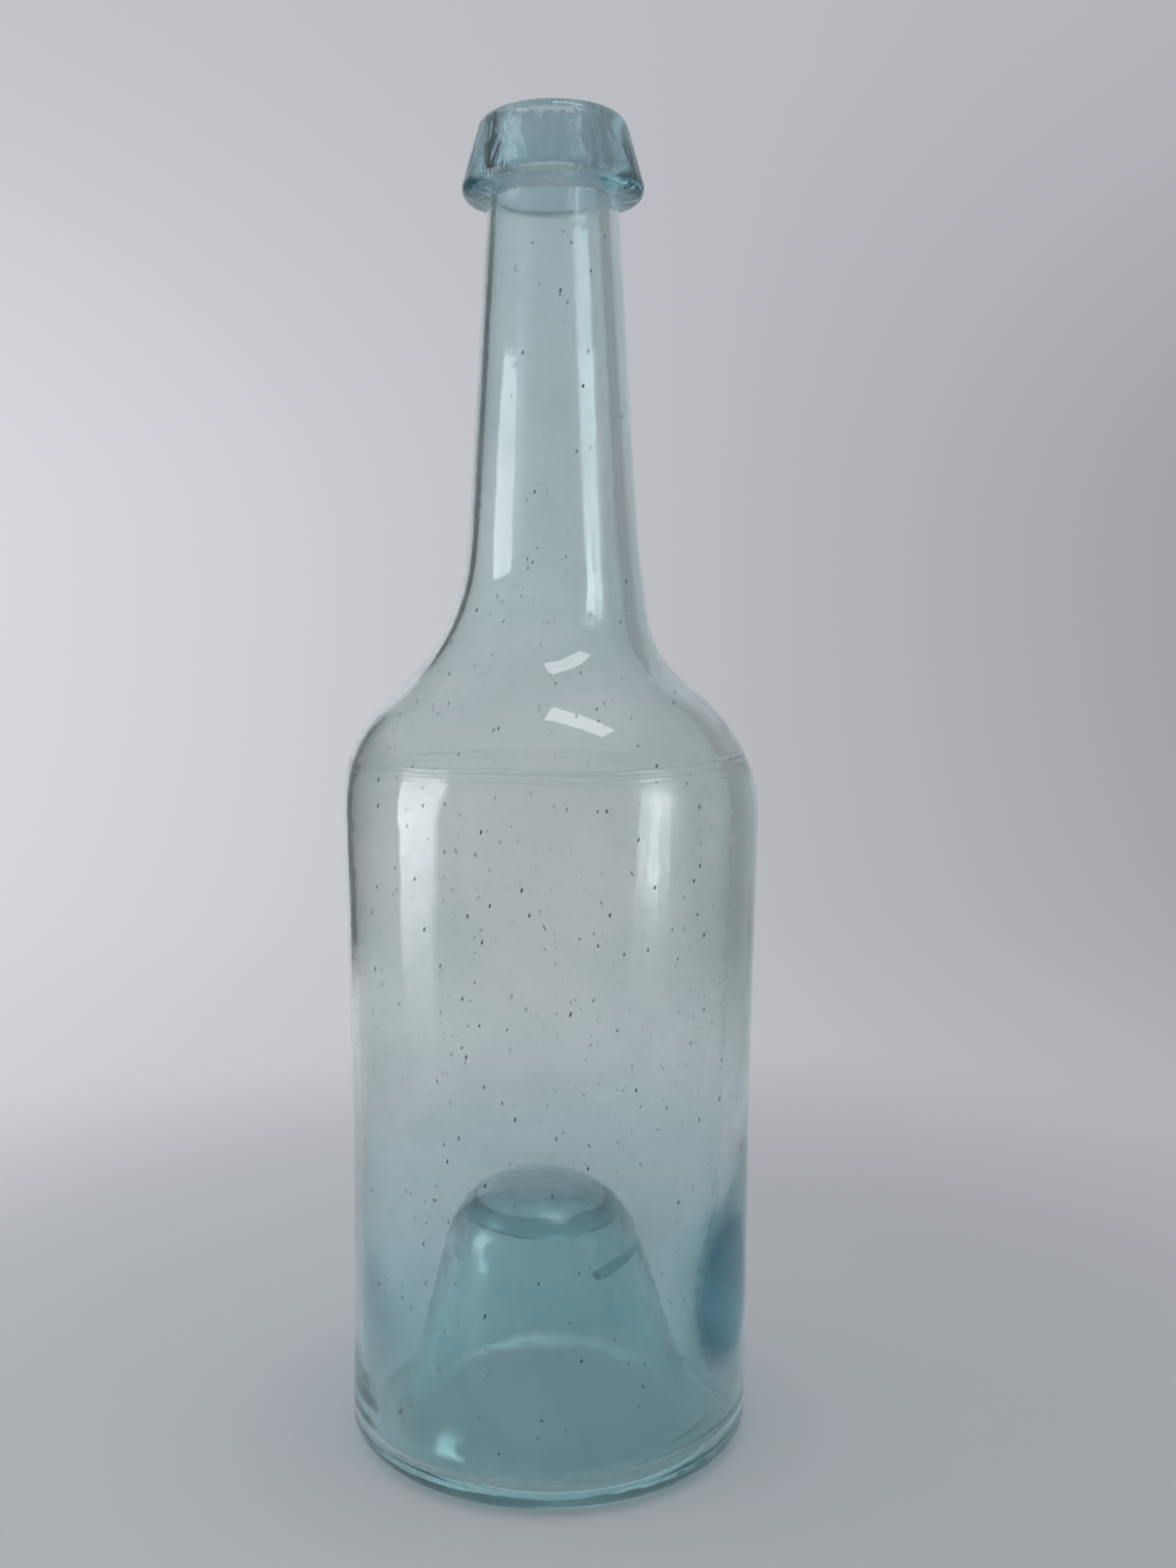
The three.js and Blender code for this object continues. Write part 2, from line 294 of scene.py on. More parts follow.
top_panel = area_lamp("top_panel", panel_place, panel_place - Vector((0, 0, 1)), panel_size, panel_radiance)
top_panel.rotation_euler = (0, 0, panel_turn)
ceiling_lamp = area_lamp("ceiling_lamp", (0, -0.05, 1.0), (0, 0, 0), (0.5, 0.5), ceiling_radiance)
left_lamp = area_lamp("left_lamp", (-0.55, 0.05, 0.45), (0, 0, 0.1), (0.4, 0.4), left_radiance)
right_lamp = area_lamp("right_lamp", (0.55, 0.0, 0.5), (0, 0, 0.1), (0.4, 0.4), right_radiance)
for lamp in (top_panel, ceiling_lamp, left_lamp, right_lamp):
    lamp.visible_camera = lamp.visible_transmission = False
    lamp.visible_glossy = lamp == top_panel

# %% [markdown]
# A bottle shows a window as long bright stripes, one from its front wall and fainter ones from the walls
# behind. A lamp could be the window, but it would light the floor too and have hard edges. So a card
# draws each stripe: only mirrored rays see it, its sides are soft, and it is shaded from foot to top.


# %% Cards that only glass mirrors
past_front_wall = 3.5


def card_glow(tree, soft, peak, shades, through_gain, middle, through_middle, half):
    """The share of the card that shows and its glow, by the place on the card and the ray's way."""
    card_place = add(tree, "ShaderNodeUVMap", uv_map="card").outputs[0]
    spot = add(tree, "ShaderNodeSeparateXYZ", {0: card_place}).outputs
    path = add(tree, "ShaderNodeLightPath").outputs
    through = maths(tree, "GREATER_THAN", path["Transmission Depth"], past_front_wall)
    centre = ramped(tree, through, 0.0, 1.0, middle, through_middle, "LINEAR")
    edge = maths(tree, "SUBTRACT", half, maths(tree, "ABSOLUTE", maths(tree, "SUBTRACT", spot["X"], centre)))
    ramp = add(tree, "ShaderNodeValToRGB", {0: spot["Y"]})
    for share, _ in shades[1:-1]:
        ramp.color_ramp.elements.new(share)
    for element, (share, shade) in zip(ramp.color_ramp.elements, shades):
        element.position, element.color = share, (shade, shade, shade, 1)
    gain = maths(tree, "ADD", maths(tree, "MULTIPLY", path["Transmission Depth"], peak * through_gain), peak)
    shade = maths(tree, "POWER", ramp.outputs[0], maths(tree, "ADD", through, 1.0))
    glow = add(tree, "ShaderNodeEmission", {"Strength": maths(tree, "MULTIPLY", shade, gain)})
    mirrored = maths(tree, "MINIMUM", path["Glossy Depth"], 1.0)
    return maths(tree, "MULTIPLY", mirrored, ramped(tree, edge, 0.0, soft)), glow.outputs[0]


def reflected_card(name, corners, soft, peak, shades, through_gain=0.0, middle=0.5, through_middle=0.5,
                   half=0.5):
    """A bright card that only mirrored rays can see, with soft sides and shades given from foot to top.

    Its bright part lies round the middle share of its width, and reaches by half to each side. Rays that
    went through the front wall see that part elsewhere, as the wall's unevenness bends them. Each surface
    that a ray has crossed brightens it by through_gain.
    """
    mesh = bpy.data.meshes.new(name)
    mesh.from_pydata(corners, [], [(0, 1, 2, 3)])
    for corner, spot in zip(mesh.uv_layers.new(name="card").data, ((0, 0), (1, 0), (1, 1), (0, 1))):
        corner.uv = spot
    card = bpy.data.objects.new(name, mesh)
    material = bpy.data.materials.new(name)
    material.use_nodes = True
    tree = material.node_tree
    tree.nodes.clear()
    shown, glow = card_glow(tree, soft, peak, shades, through_gain, middle, through_middle, half)
    clear = add(tree, "ShaderNodeBsdfTransparent")
    both = add(tree, "ShaderNodeMixShader", {0: shown, 1: clear.outputs[0], 2: glow})
    output = add(tree, "ShaderNodeOutputMaterial")
    tree.links.new(both.outputs[0], output.inputs["Surface"])
    material.cycles.emission_sampling = "NONE"
    card.data.materials.append(material)
    card.visible_camera = card.visible_diffuse = card.visible_shadow = False
    bpy.context.scene.collection.objects.link(card)
    return card


print("cards are drawn by:", reflected_card.__name__)

# %% [markdown]
# The window stands on the left. Its card fans out and leans back from the bottle, so that its stripe
# runs down the whole body, and it is brightest a little above its foot. A narrow curtain of light stands
# on the right, for the right edge of the glass. Cards of one size would be simpler, but the two lights
# in the photograph aren't alike.


# %% Window and curtain
def card_corners(azimuth, half_turn, foot, top):
    """Corners of a card that fans out from the bottle, from (distance, height) of its foot and its top."""
    places = []
    for side, (distance, height) in ((1, foot), (-1, foot), (-1, top), (1, top)):
        turn = math.radians(azimuth + side * half_turn)
        places.append((distance * math.sin(turn), -distance * math.cos(turn), height))
    return places


window_azimuth, window_half_turn, curtain_azimuth, curtain_half_turn = -71, 21, 62, 16
window_peak, curtain_peak = 2.3, 2.4
window_shades = ((0.0, 0.05), (0.09, 0.3), (0.145, 0.52), (0.175, 0.76), (0.237, 1.0), (0.45, 0.85),
                 (0.9, 0.75), (0.94, 0.0), (1.0, 0.0))
curtain_shades = ((0.0, 0.0), (0.6, 1.0), (1.0, 0.6))
window_corners = card_corners(window_azimuth, window_half_turn, (0.25, 0.002), (0.8, 0.48))
curtain_corners = card_corners(curtain_azimuth, curtain_half_turn, (0.36, 0.03), (0.36, 0.34))
cards = [reflected_card("window_pane", window_corners, 0.08, window_peak, window_shades,
                        through_gain=1.0, middle=0.40, through_middle=0.60, half=0.34),
         reflected_card("right_curtain", curtain_corners, 0.5, curtain_peak, curtain_shades)]
print("cards:", [card.name for card in cards])

# %% [markdown]
# Old glass isn't even, and all its pieces share the same kinds of marks. They could be built into each
# material, but then each mark would have to be made and tuned three times. So each effect is a node
# group with named inputs, built once, and every glass places it with values of its own.


# %% Helpers for groups
def group_inputs(tree, sockets):
    """Adds named inputs, given as name: (socket type, default), and returns what they hand in."""
    for name, (kind, default) in sockets.items():
        socket = tree.interface.new_socket(name, in_out="INPUT", socket_type="NodeSocket" + kind)
        if default is not None:
            socket.default_value = default
    return tree.nodes.new("NodeGroupInput").outputs


def group_output(tree, name, kind, value):
    """Adds one named output and hands this value out there."""
    tree.interface.new_socket(name, in_out="OUTPUT", socket_type="NodeSocket" + kind)
    tree.links.new(value, tree.nodes.new("NodeGroupOutput").inputs[name])


print("helpers:", group_inputs.__name__, group_output.__name__)

# %% [markdown]
# Streaks are glass of another density that was drawn out as the bottle was blown. Real ones bend light
# inside the wall. Noise that is stretched along the flow and read as height does the same at the
# surface, without any more faces.


# %% Streaks
def striae_group():
    """Height of drawn-out streaks: noise stretched along the way the glass flowed."""
    tree = bpy.data.node_groups.new("glass_striae", "ShaderNodeTree")
    given = group_inputs(tree, {"Vector": ("Vector", None), "Scale": ("Float", 60.0),
                                "Stretch": ("Float", 6.0), "Slant": ("Float", 0.5)})
    turned = add(tree, "ShaderNodeVectorRotate", {"Vector": given["Vector"], "Angle": given["Slant"]},
                 rotation_type="Y_AXIS").outputs[0]
    squeezed = add(tree, "ShaderNodeCombineXYZ", {
        0: given["Stretch"], 1: given["Stretch"], 2: 1.0}).outputs[0]
    drawn = add(tree, "ShaderNodeVectorMath", {0: turned, 1: squeezed}, operation="MULTIPLY").outputs[0]
    streaks = add(tree, "ShaderNodeTexNoise", {"Vector": drawn, "Scale": given["Scale"], "Detail": 3.0,
                                               "Roughness": 0.5})
    group_output(tree, "Height", "Float", streaks.outputs[0])
    return tree


striae = striae_group()
print("group:", striae.name, "nodes:", len(striae.nodes))

# %% [markdown]
# The inside of an old bottle has a dry bloom that was never washed out. An even haze would make the
# glass look sandblasted. So clouds of noise say how much there is, and specks too fine to see one by one
# break it up: some light scatters, and the rest still passes clear.

# %% Bloom
bloom_span = (0.38, 0.68)


def bloom_group():
    """Mask of a dusty bloom: clouds, broken up into specks too fine to see one by one."""
    tree = bpy.data.node_groups.new("glass_bloom", "ShaderNodeTree")
    given = group_inputs(tree, {"Vector": ("Vector", None), "Cloud Scale": ("Float", 22.0),
                                "Speck Scale": ("Float", 3000.0), "Cover": ("Float", 0.4)})
    clouds = add(tree, "ShaderNodeTexNoise", {"Vector": given["Vector"], "Scale": given["Cloud Scale"],
                                              "Detail": 4.0}).outputs[0]
    share = ramped(tree, clouds, *bloom_span, 0.0, given["Cover"])
    fine_place = add(tree, "ShaderNodeVectorMath", {0: given["Vector"], "Scale": given["Speck Scale"]},
                     operation="SCALE").outputs[0]
    specks = add(tree, "ShaderNodeTexWhiteNoise", {"Vector": fine_place}, noise_dimensions="3D")
    group_output(tree, "Mask", "Float", maths(tree, "LESS_THAN", specks.outputs["Value"], share))
    return tree


bloom = bloom_group()
print("group:", bloom.name, "nodes:", len(bloom.nodes))

# %% [markdown]
# Glass is deeper in colour where it is thick, and dim where deposit lies on it. The volume below does
# most of that by itself. This group adds what the volume can't know: glass of the same thickness that is
# richer in colour, faint clouds, the seam's line, and dust on the inside.

# %% Depth of colour
thickest_span, cloud_span = (1.0, 2.2), (0.42, 0.62)


def depth_tint_group():
    """Colour of light that crosses the surface: clear, deeper where the glass is thick, dim at dust."""
    tree = bpy.data.node_groups.new("glass_depth_tint", "ShaderNodeTree")
    given = group_inputs(tree, {
        "Thick": ("Float", 0.0), "Clear Glass": ("Color", (0.980, 0.998, 0.998, 1)),
        "Deep Glass": ("Color", (0.8, 0.94, 0.96, 1)), "Thickest Glass": ("Color", (0.07, 0.22, 0.32, 1)),
        "Dust": ("Float", 0.0), "Inside": ("Float", 0.0), "Dust Color": ("Color", (0.90, 0.91, 0.90, 1)),
        "Vector": ("Vector", None), "Cloud Color": ("Color", (0.92, 0.955, 0.95, 1)),
        "Cloud Scale": ("Float", 20.0), "Line": ("Float", 0.0),
        "Line Color": ("Color", (0.74, 0.78, 0.79, 1))})
    cast = mixed(tree, given["Thick"], given["Clear Glass"], given["Deep Glass"])
    clouds = add(tree, "ShaderNodeTexNoise", {"Vector": given["Vector"], "Scale": given["Cloud Scale"],
                                              "Detail": 5.0, "Roughness": 0.55, "Distortion": 0.6}).outputs[0]
    dyes = ((ramped(tree, given["Thick"], *thickest_span), "Thickest Glass"),
            (ramped(tree, clouds, *cloud_span), "Cloud Color"), (given["Line"], "Line Color"),
            (maths(tree, "MULTIPLY", given["Dust"], given["Inside"]), "Dust Color"))
    for share, dye in dyes:
        cast = mixed(tree, share, cast, given[dye], "MULTIPLY")
    group_output(tree, "Color", "Color", cast)
    return tree


depth_tint = depth_tint_group()
print("group:", depth_tint.name, "nodes:", len(depth_tint.nodes))

# %% [markdown]
# The mould left a seam round the shoulder, a line so thin that it fades here and there. It could be a
# ridge in the mesh, but it is finer than any facet. So it is a mask at a height, which wanders a little,
# and the material turns it into a faint dark line and a low ridge.

# %% Seam
seam_fade_span = (0.3, 0.5)


def seam_group():
    """Mask of a thin line round the piece at a height, wandering a little as it goes."""
    tree = bpy.data.node_groups.new("mould_seam", "ShaderNodeTree")
    given = group_inputs(tree, {"Vector": ("Vector", None), "Height": ("Float", 0.1518),
                                "Width": ("Float", 0.0005), "Wander": ("Float", 0.0016)})
    wander = add(tree, "ShaderNodeTexNoise", {"Vector": given["Vector"], "Scale": 45.0, "Detail": 2.0})
    drift = maths(tree, "MULTIPLY", maths(tree, "SUBTRACT", wander.outputs[0], 0.5), given["Wander"])
    z = add(tree, "ShaderNodeSeparateXYZ", {0: given["Vector"]}).outputs["Z"]
    off = maths(tree, "ABSOLUTE", maths(tree, "SUBTRACT", maths(tree, "ADD", z, drift), given["Height"]))
    strength = add(tree, "ShaderNodeTexNoise", {"Vector": given["Vector"], "Scale": 30.0}).outputs[0]
    group_output(tree, "Mask", "Float", maths(tree, "MULTIPLY", ramped(tree, off, given["Width"], 0.0),
                                              ramped(tree, strength, *seam_fade_span, kind="LINEAR")))
    return tree


mould_seam = seam_group()
print("group:", mould_seam.name, "nodes:", len(mould_seam.nodes))

# %% [markdown]
# The glass itself is one clear shader with absorption in its volume, so that it is pale where the wall
# is thin and deep blue-green where the eye looks along the glass, as at the heel and the lip. A tinted
# surface alone would be equally deep all over. Absorption colour and density sit on the shader's own
# sockets. Base colour, roughness and bump come from the groups, and where glass was broken off, lumps
# take the place of a polish. Rays from a lamp would need luck to find their way through bent glass, so
# for them alone the surface is a clear film, and the volume still tints the floor under the bottle.

# %% Glass
glass_ior = 1.52
glass_tint = (0.30, 0.77, 0.81, 1)
glass_density = 12.5
lamp_light_kept = (0.963, 0.99, 0.99, 1)
wear_roughness = 0.6
lump_scale, lump_depth = 170, 0.0003
lumps_start, lumps_full = 0.15, 0.3
seam_ridge = 0.00008


def seam_line(tree, place, seams):
    """The strongest of the seams here, each given as (height in millimetres, share)."""
    line = 0.0
    for height, share in seams:
        ring = add(tree, "ShaderNodeGroup", {"Vector": place, "Height": height * MM}, node_tree=mould_seam)
        line = maths(tree, "MAXIMUM", maths(tree, "MULTIPLY", ring.outputs["Mask"], share), line)
    return line


def glass_material(name, scale, stretch, slant, bump_depth, cover, haze, deep, clear=0.97, seams=(),
                   pale=(0.980, 0.998, 0.998, 1), tint=glass_tint, density=glass_density):
    """Glass with streaks of this scale, stretch, slant and depth, and bloom of this cover and haze.

    Its surface goes from pale to deep where it is thick, and tint and density are those of its volume.
    """
    material = bpy.data.materials.new(name)
    material.use_nodes = True
    tree = material.node_tree
    shader = tree.nodes["Principled BSDF"]
    shader.inputs["IOR"].default_value = glass_ior
    shader.inputs["Transmission Weight"].default_value = clear
    place = add(tree, "ShaderNodeTexCoord").outputs["Object"]
    inner, thick, wear = (add(tree, "ShaderNodeAttribute", attribute_name=mark).outputs["Fac"]
                          for mark in ("inside", "thick", "worn"))
    dust = add(tree, "ShaderNodeGroup", {"Vector": place, "Cover": cover}, node_tree=bloom).outputs["Mask"]
    rough = maths(tree, "MULTIPLY", maths(tree, "MULTIPLY", dust, inner), haze)
    tree.links.new(maths(tree, "MAXIMUM", rough, maths(tree, "MULTIPLY", wear, wear_roughness)),
                   shader.inputs["Roughness"])
    line = seam_line(tree, place, seams)
    cast = add(tree, "ShaderNodeGroup", {
        "Vector": place, "Thick": thick, "Dust": dust, "Inside": inner, "Line": line, "Clear Glass": pale,
        "Deep Glass": deep}, node_tree=depth_tint)
    tree.links.new(cast.outputs["Color"], shader.inputs["Base Color"])
    relief = add(tree, "ShaderNodeGroup", {"Vector": place, "Scale": scale, "Stretch": stretch,
                                           "Slant": slant}, node_tree=striae).outputs["Height"]
    lumps = add(tree, "ShaderNodeTexNoise", {"Vector": place, "Scale": lump_scale, "Detail": 2.0}).outputs[0]
    lumpy = ramped(tree, wear, lumps_start, lumps_full, 0.0, lump_depth / bump_depth, "LINEAR")
    relief = maths(tree, "ADD", relief, maths(tree, "MULTIPLY", lumps, lumpy))
    if seams:
        relief = maths(tree, "ADD", relief, maths(tree, "MULTIPLY", line, seam_ridge / bump_depth))
    bump = add(tree, "ShaderNodeBump", {"Height": relief, "Distance": bump_depth, "Strength": 1.0})
    tree.links.new(bump.outputs[0], shader.inputs["Normal"])
    film = add(tree, "ShaderNodeBsdfTransparent", {"Color": lamp_light_kept})
    both = add(tree, "ShaderNodeMixShader", {0: add(tree, "ShaderNodeLightPath").outputs["Is Shadow Ray"],
                                             1: shader.outputs[0], 2: film.outputs[0]})
    output = tree.nodes["Material Output"]
    tree.links.new(both.outputs[0], output.inputs["Surface"])
    absorb = add(tree, "ShaderNodeVolumeAbsorption", {"Color": tint, "Density": density})
    tree.links.new(absorb.outputs[0], output.inputs["Volume"])
    return material


print("index of refraction:", glass_ior, "density:", glass_density)

# %% [markdown]
# The bottle has three glasses. The body's is the palest and carries the seam. The lip's is a second
# gather, denser in colour and full of tool marks. The pontil's is darker, and rough where it was broken
# off. One material could serve all three, but then the lip would be as pale as the neck.

# %% The three glasses
seam_lines = ((151.8, 1.0), (150.1, 0.5))
aqua_glass = glass_material("aqua_glass", scale=120, stretch=0.35, slant=0.6, bump_depth=0.00012, cover=0.55,
                            haze=0.38, deep=(0.80, 0.958, 0.976, 1), seams=seam_lines)
lip_glass = glass_material("lip_glass", scale=130, stretch=4, slant=0.0, bump_depth=0.0003, cover=0.4,
                           haze=0.3, deep=(0.79, 0.85, 0.88, 1), clear=0.98, tint=(0.42, 0.74, 0.79, 1),
                           density=46.0)
pontil_glass = glass_material("pontil_glass", scale=200, stretch=1, slant=0.0, bump_depth=0.00012, cover=0.5,
                              haze=0.5, deep=(0.52, 0.76, 0.78, 1), pale=(0.36, 0.60, 0.65, 1))
print("materials:", aqua_glass.name, lip_glass.name, pontil_glass.name)

# %% [markdown]
# A blown bottle is close to a turned shape. It could be sculpted, or cut from a cylinder, but an outline
# is what the eye reads in the photograph, so each piece starts as one: corners in millimetres, rounded
# by arcs. These are the sizes that the corners use. The height comes from the frame.

# %% Sizes of the bottle in millimetres
bottle_height = cad_high.z / MM
shoulder_height, waist_height = 155.3, 68.0
neck_foot_height = shoulder_height + 20.5
neck_root_height = neck_foot_height + 17.8
neck_end_height = bottle_height - 6.5
lip_join_height = bottle_height - 17.4
heel_radius, waist_radius, belly_radius = 44.9, 44.6, 46.4
neck_foot_radius, neck_root_radius, neck_end_radius = 23.6, 19.2, 13.5
heel_fillet, waist_fillet, shoulder_fillet, neck_foot_fillet, neck_root_fillet = 5, 400, 33, 28, 110
body_wall, shoulder_wall, neck_wall, neck_end_wall = 3.9, 3.5, 3.3, 3.0
kick_height, kick_wall, kick_top_wall, floor_thickness = 57.0, 3.8, 3.3, 4.6
kick_foot_radius, kick_shoulder_radius = 34.8, 17.1
kick_dome_fillet, kick_under_fillet, kick_foot_fillet = 18.5, 12.5, 6
trough_wall_fillet, trough_kick_fillet = 3.4, 2.6
bore_radius = neck_end_radius - neck_end_wall
kick_slope = (kick_foot_radius - kick_shoulder_radius) / (kick_height - floor_thickness)
kick_steepness = math.hypot(1, kick_slope)
print("bore in mm:", 2 * bore_radius)

# %% [markdown]
# Hot glass has no sharp corner. A Bevel modifier rounds faces, but an outline needs each corner to have
# its own radius, so this helper lays a true arc there and then divides the straight runs.


# %% Rounded outlines
def rounded(corners, step=2.4, arc_turn=math.radians(4)):
    """Points of a line through (radius, height, fillet) corners, with arcs at the fillets."""
    line = []
    for i, (x, z, fillet) in enumerate(corners):
        at = Vector((x, z))
        if not fillet:
            line.append(at)
            continue
        back = (Vector(corners[i - 1][:2]) - at).normalized()
        ahead = (Vector(corners[i + 1][:2]) - at).normalized()
        half = math.acos(max(-1, min(1, back.dot(ahead)))) / 2
        centre = at + (back + ahead).normalized() * fillet / math.sin(half)
        first = at + back * fillet / math.tan(half)
        last = at + ahead * fillet / math.tan(half)
        turn = math.pi - 2 * half
        steps = max(3, math.ceil(turn / arc_turn), math.ceil(turn * fillet / step))
        for k in range(steps + 1):
            t = k / steps
            spoke = ((first - centre) * math.sin((1 - t) * turn)
                     + (last - centre) * math.sin(t * turn)) / math.sin(turn)
            line.append(centre + spoke)
    fine = [line[0]]
    for a, b in zip(line, line[1:]):
        pieces = max(1, math.ceil((b - a).length / step))
        fine.extend(a.lerp(b, k / pieces) for k in range(1, pieces + 1))
    return fine


print("points in a rounded quarter turn of 5 mm:", len(rounded([(10, 0, 0), (10, 10, 5), (0, 10, 0)])))

# %% [markdown]
# The hollow follows the outside at a wall's distance. A Solidify modifier would give one thickness all
# over. Blown glass has its own at the heel, the belly, the shoulder and the neck, so each corner of the
# hollow is the outside's corner, moved in by the wall that is there.


# %% Corners of the body
def inset(corners, i, wall):
    """The corner that lies a wall's thickness inside corner i of an upward outside line."""
    x, z, fillet = corners[i]
    at = Vector((x, z))
    before = (at - Vector(corners[i - 1][:2])).normalized()
    after = (Vector(corners[i + 1][:2]) - at).normalized()
    turn = before.x * after.y - before.y * after.x
    along = (before + after).normalized()
    moved = at + Vector((-along.y, along.x)) * wall / math.cos(math.asin(turn) / 2)
    return (moved.x, moved.y, fillet - math.copysign(wall, turn))


outside = [(heel_radius, 0, heel_fillet), (waist_radius, waist_height, waist_fillet),
           (belly_radius, shoulder_height, shoulder_fillet),
           (neck_foot_radius, neck_foot_height, neck_foot_fillet),
           (neck_root_radius, neck_root_height, neck_root_fillet), (neck_end_radius, neck_end_height, 0)]
under_top_height = kick_height - kick_top_wall
under_top_radius = kick_shoulder_radius + kick_top_wall * (kick_slope - kick_steepness)
under_foot_radius = kick_foot_radius + floor_thickness * kick_slope - kick_wall * kick_steepness
underside = [(0, under_top_height, 0), (under_top_radius, under_top_height, kick_under_fillet),
             (under_foot_radius, 0, kick_foot_fillet)]
hollow = [(bore_radius, neck_end_height, 0), inset(outside, 4, neck_wall), inset(outside, 3, shoulder_wall),
          inset(outside, 2, shoulder_wall), inset(outside, 1, body_wall),
          (heel_radius - body_wall, floor_thickness, trough_wall_fillet),
          (kick_foot_radius, floor_thickness, trough_kick_fillet),
          (kick_shoulder_radius, kick_height, kick_dome_fillet), (0, kick_height, 0)]
print("corners:", len(outside) + len(underside) + len(hollow))

# %% [markdown]
# No hand-blown bottle is true to its axis. Lattices or sculpting could bend it, but a few millimetres of
# sideways stray, given by height, are enough and easy to read. The outside, the hollow and the push-up
# each stray in their own way, which makes one wall thicker than the other.

# %% How hand work bent it
heel_stray, shoulder_stray, neck_stray = -0.5, -1.4, 0.5
hollow_stray, hollow_return, hollow_rise = -1.3, 0.5, 18
kick_foot_stray, kick_top_stray = 1.5, -2.5
kick_foot_low, kick_foot_top, shoulder_lean_gap = 1, 8, 7


def smooth(x, low, high):
    """A soft step from 0 at low to 1 at high."""
    t = max(0.0, min(1.0, (x - low) / (high - low)))
    return t * t * (3 - 2 * t)


def outside_drift(z):
    """Sideways stray of the outside, in millimetres: the shoulder leans left and the neck right."""
    shoulder_top = neck_foot_height - shoulder_lean_gap
    shoulder = smooth(z, shoulder_height - shoulder_fillet / 2, shoulder_top)
    shoulder *= 1 - smooth(z, shoulder_top, neck_root_height)
    return (heel_stray * (1 - smooth(z, 0, waist_height / 2)) + shoulder_stray * shoulder
            + neck_stray * smooth(z, neck_foot_height, neck_root_height))


def inside_drift(z):
    """The hollow strays further left, so the right wall is thicker."""
    blend = smooth(z, shoulder_height, neck_root_height)
    return outside_drift(z) + smooth(z, floor_thickness, floor_thickness + hollow_rise) * (
        hollow_stray + hollow_return * blend)


def kick_drift(z):
    """The push-up's foot strays right of the heel, and its top strays left."""
    return (heel_stray + kick_foot_stray * smooth(z, kick_foot_low, kick_foot_top)
            + kick_top_stray * smooth(z, kick_foot_top, kick_height))


print("stray at the shoulder in mm:", round(outside_drift(165), 2))

# %% [markdown]
# An outline becomes a round piece by turning. A Screw modifier would do that for a plain shape. This one
# is a Geometry Nodes tree, the lathe of this lesson, because it also bends what it turns. It lays a
# grid, wraps it round the axis with one column per facet, and reads each row from a point of the
# outline. The outline's attributes say how hand work bent that point: stray moves it sideways and tilts
# it, relief holds a wave, the depth of a thick patch and a slow ripple, and bulge deepens the colour at
# the patch. The attributes inside, thick and worn go on to the materials.


# %% Parts of the lathe
def outline_reader(tree, outline, row):
    """A function that reads the position, or a named attribute, of the outline's point for this row."""
    def read(name=None, data_type="FLOAT_VECTOR"):
        if name is None:
            value = add(tree, "GeometryNodeInputPosition").outputs[0]
        else:
            attribute = add(tree, "GeometryNodeInputNamedAttribute", {"Name": name}, data_type=data_type)
            value = attribute.outputs[0]
        return add(tree, "GeometryNodeSampleIndex", {"Geometry": outline, "Value": value, "Index": row},
                   data_type=data_type).outputs[0]
    return read


def bell(tree, angle, middle, width):
    """A soft hill of height 1 round the axis, about the middle angle."""
    off = maths(tree, "DIVIDE", maths(tree, "SUBTRACT", angle, middle), width)
    return maths(tree, "EXPONENT", maths(tree, "MULTIPLY", maths(tree, "MULTIPLY", off, off), -1.0))


def tree_end(tree, geometry, material):
    """The end of every tree here: instances made real, one material set, and the result handed out."""
    real = add(tree, "GeometryNodeRealizeInstances", {"Geometry": geometry})
    coated = add(tree, "GeometryNodeSetMaterial", {"Geometry": real.outputs[0], "Material": material})
    group_output(tree, "Geometry", "Geometry", coated.outputs[0])


print("parts:", outline_reader.__name__, bell.__name__, tree_end.__name__)

# %% [markdown]
# The tree puts these parts together. Its named inputs are the number of facets, the length of the
# ripple, and where the thick patch and its colour lie: the patch is on the right, and its colour shows
# most where rays enter it, with a fainter echo on the left.

# %% Tree that turns an outline
weld_distance, hollow_seed_step = 0.000002, 7.3


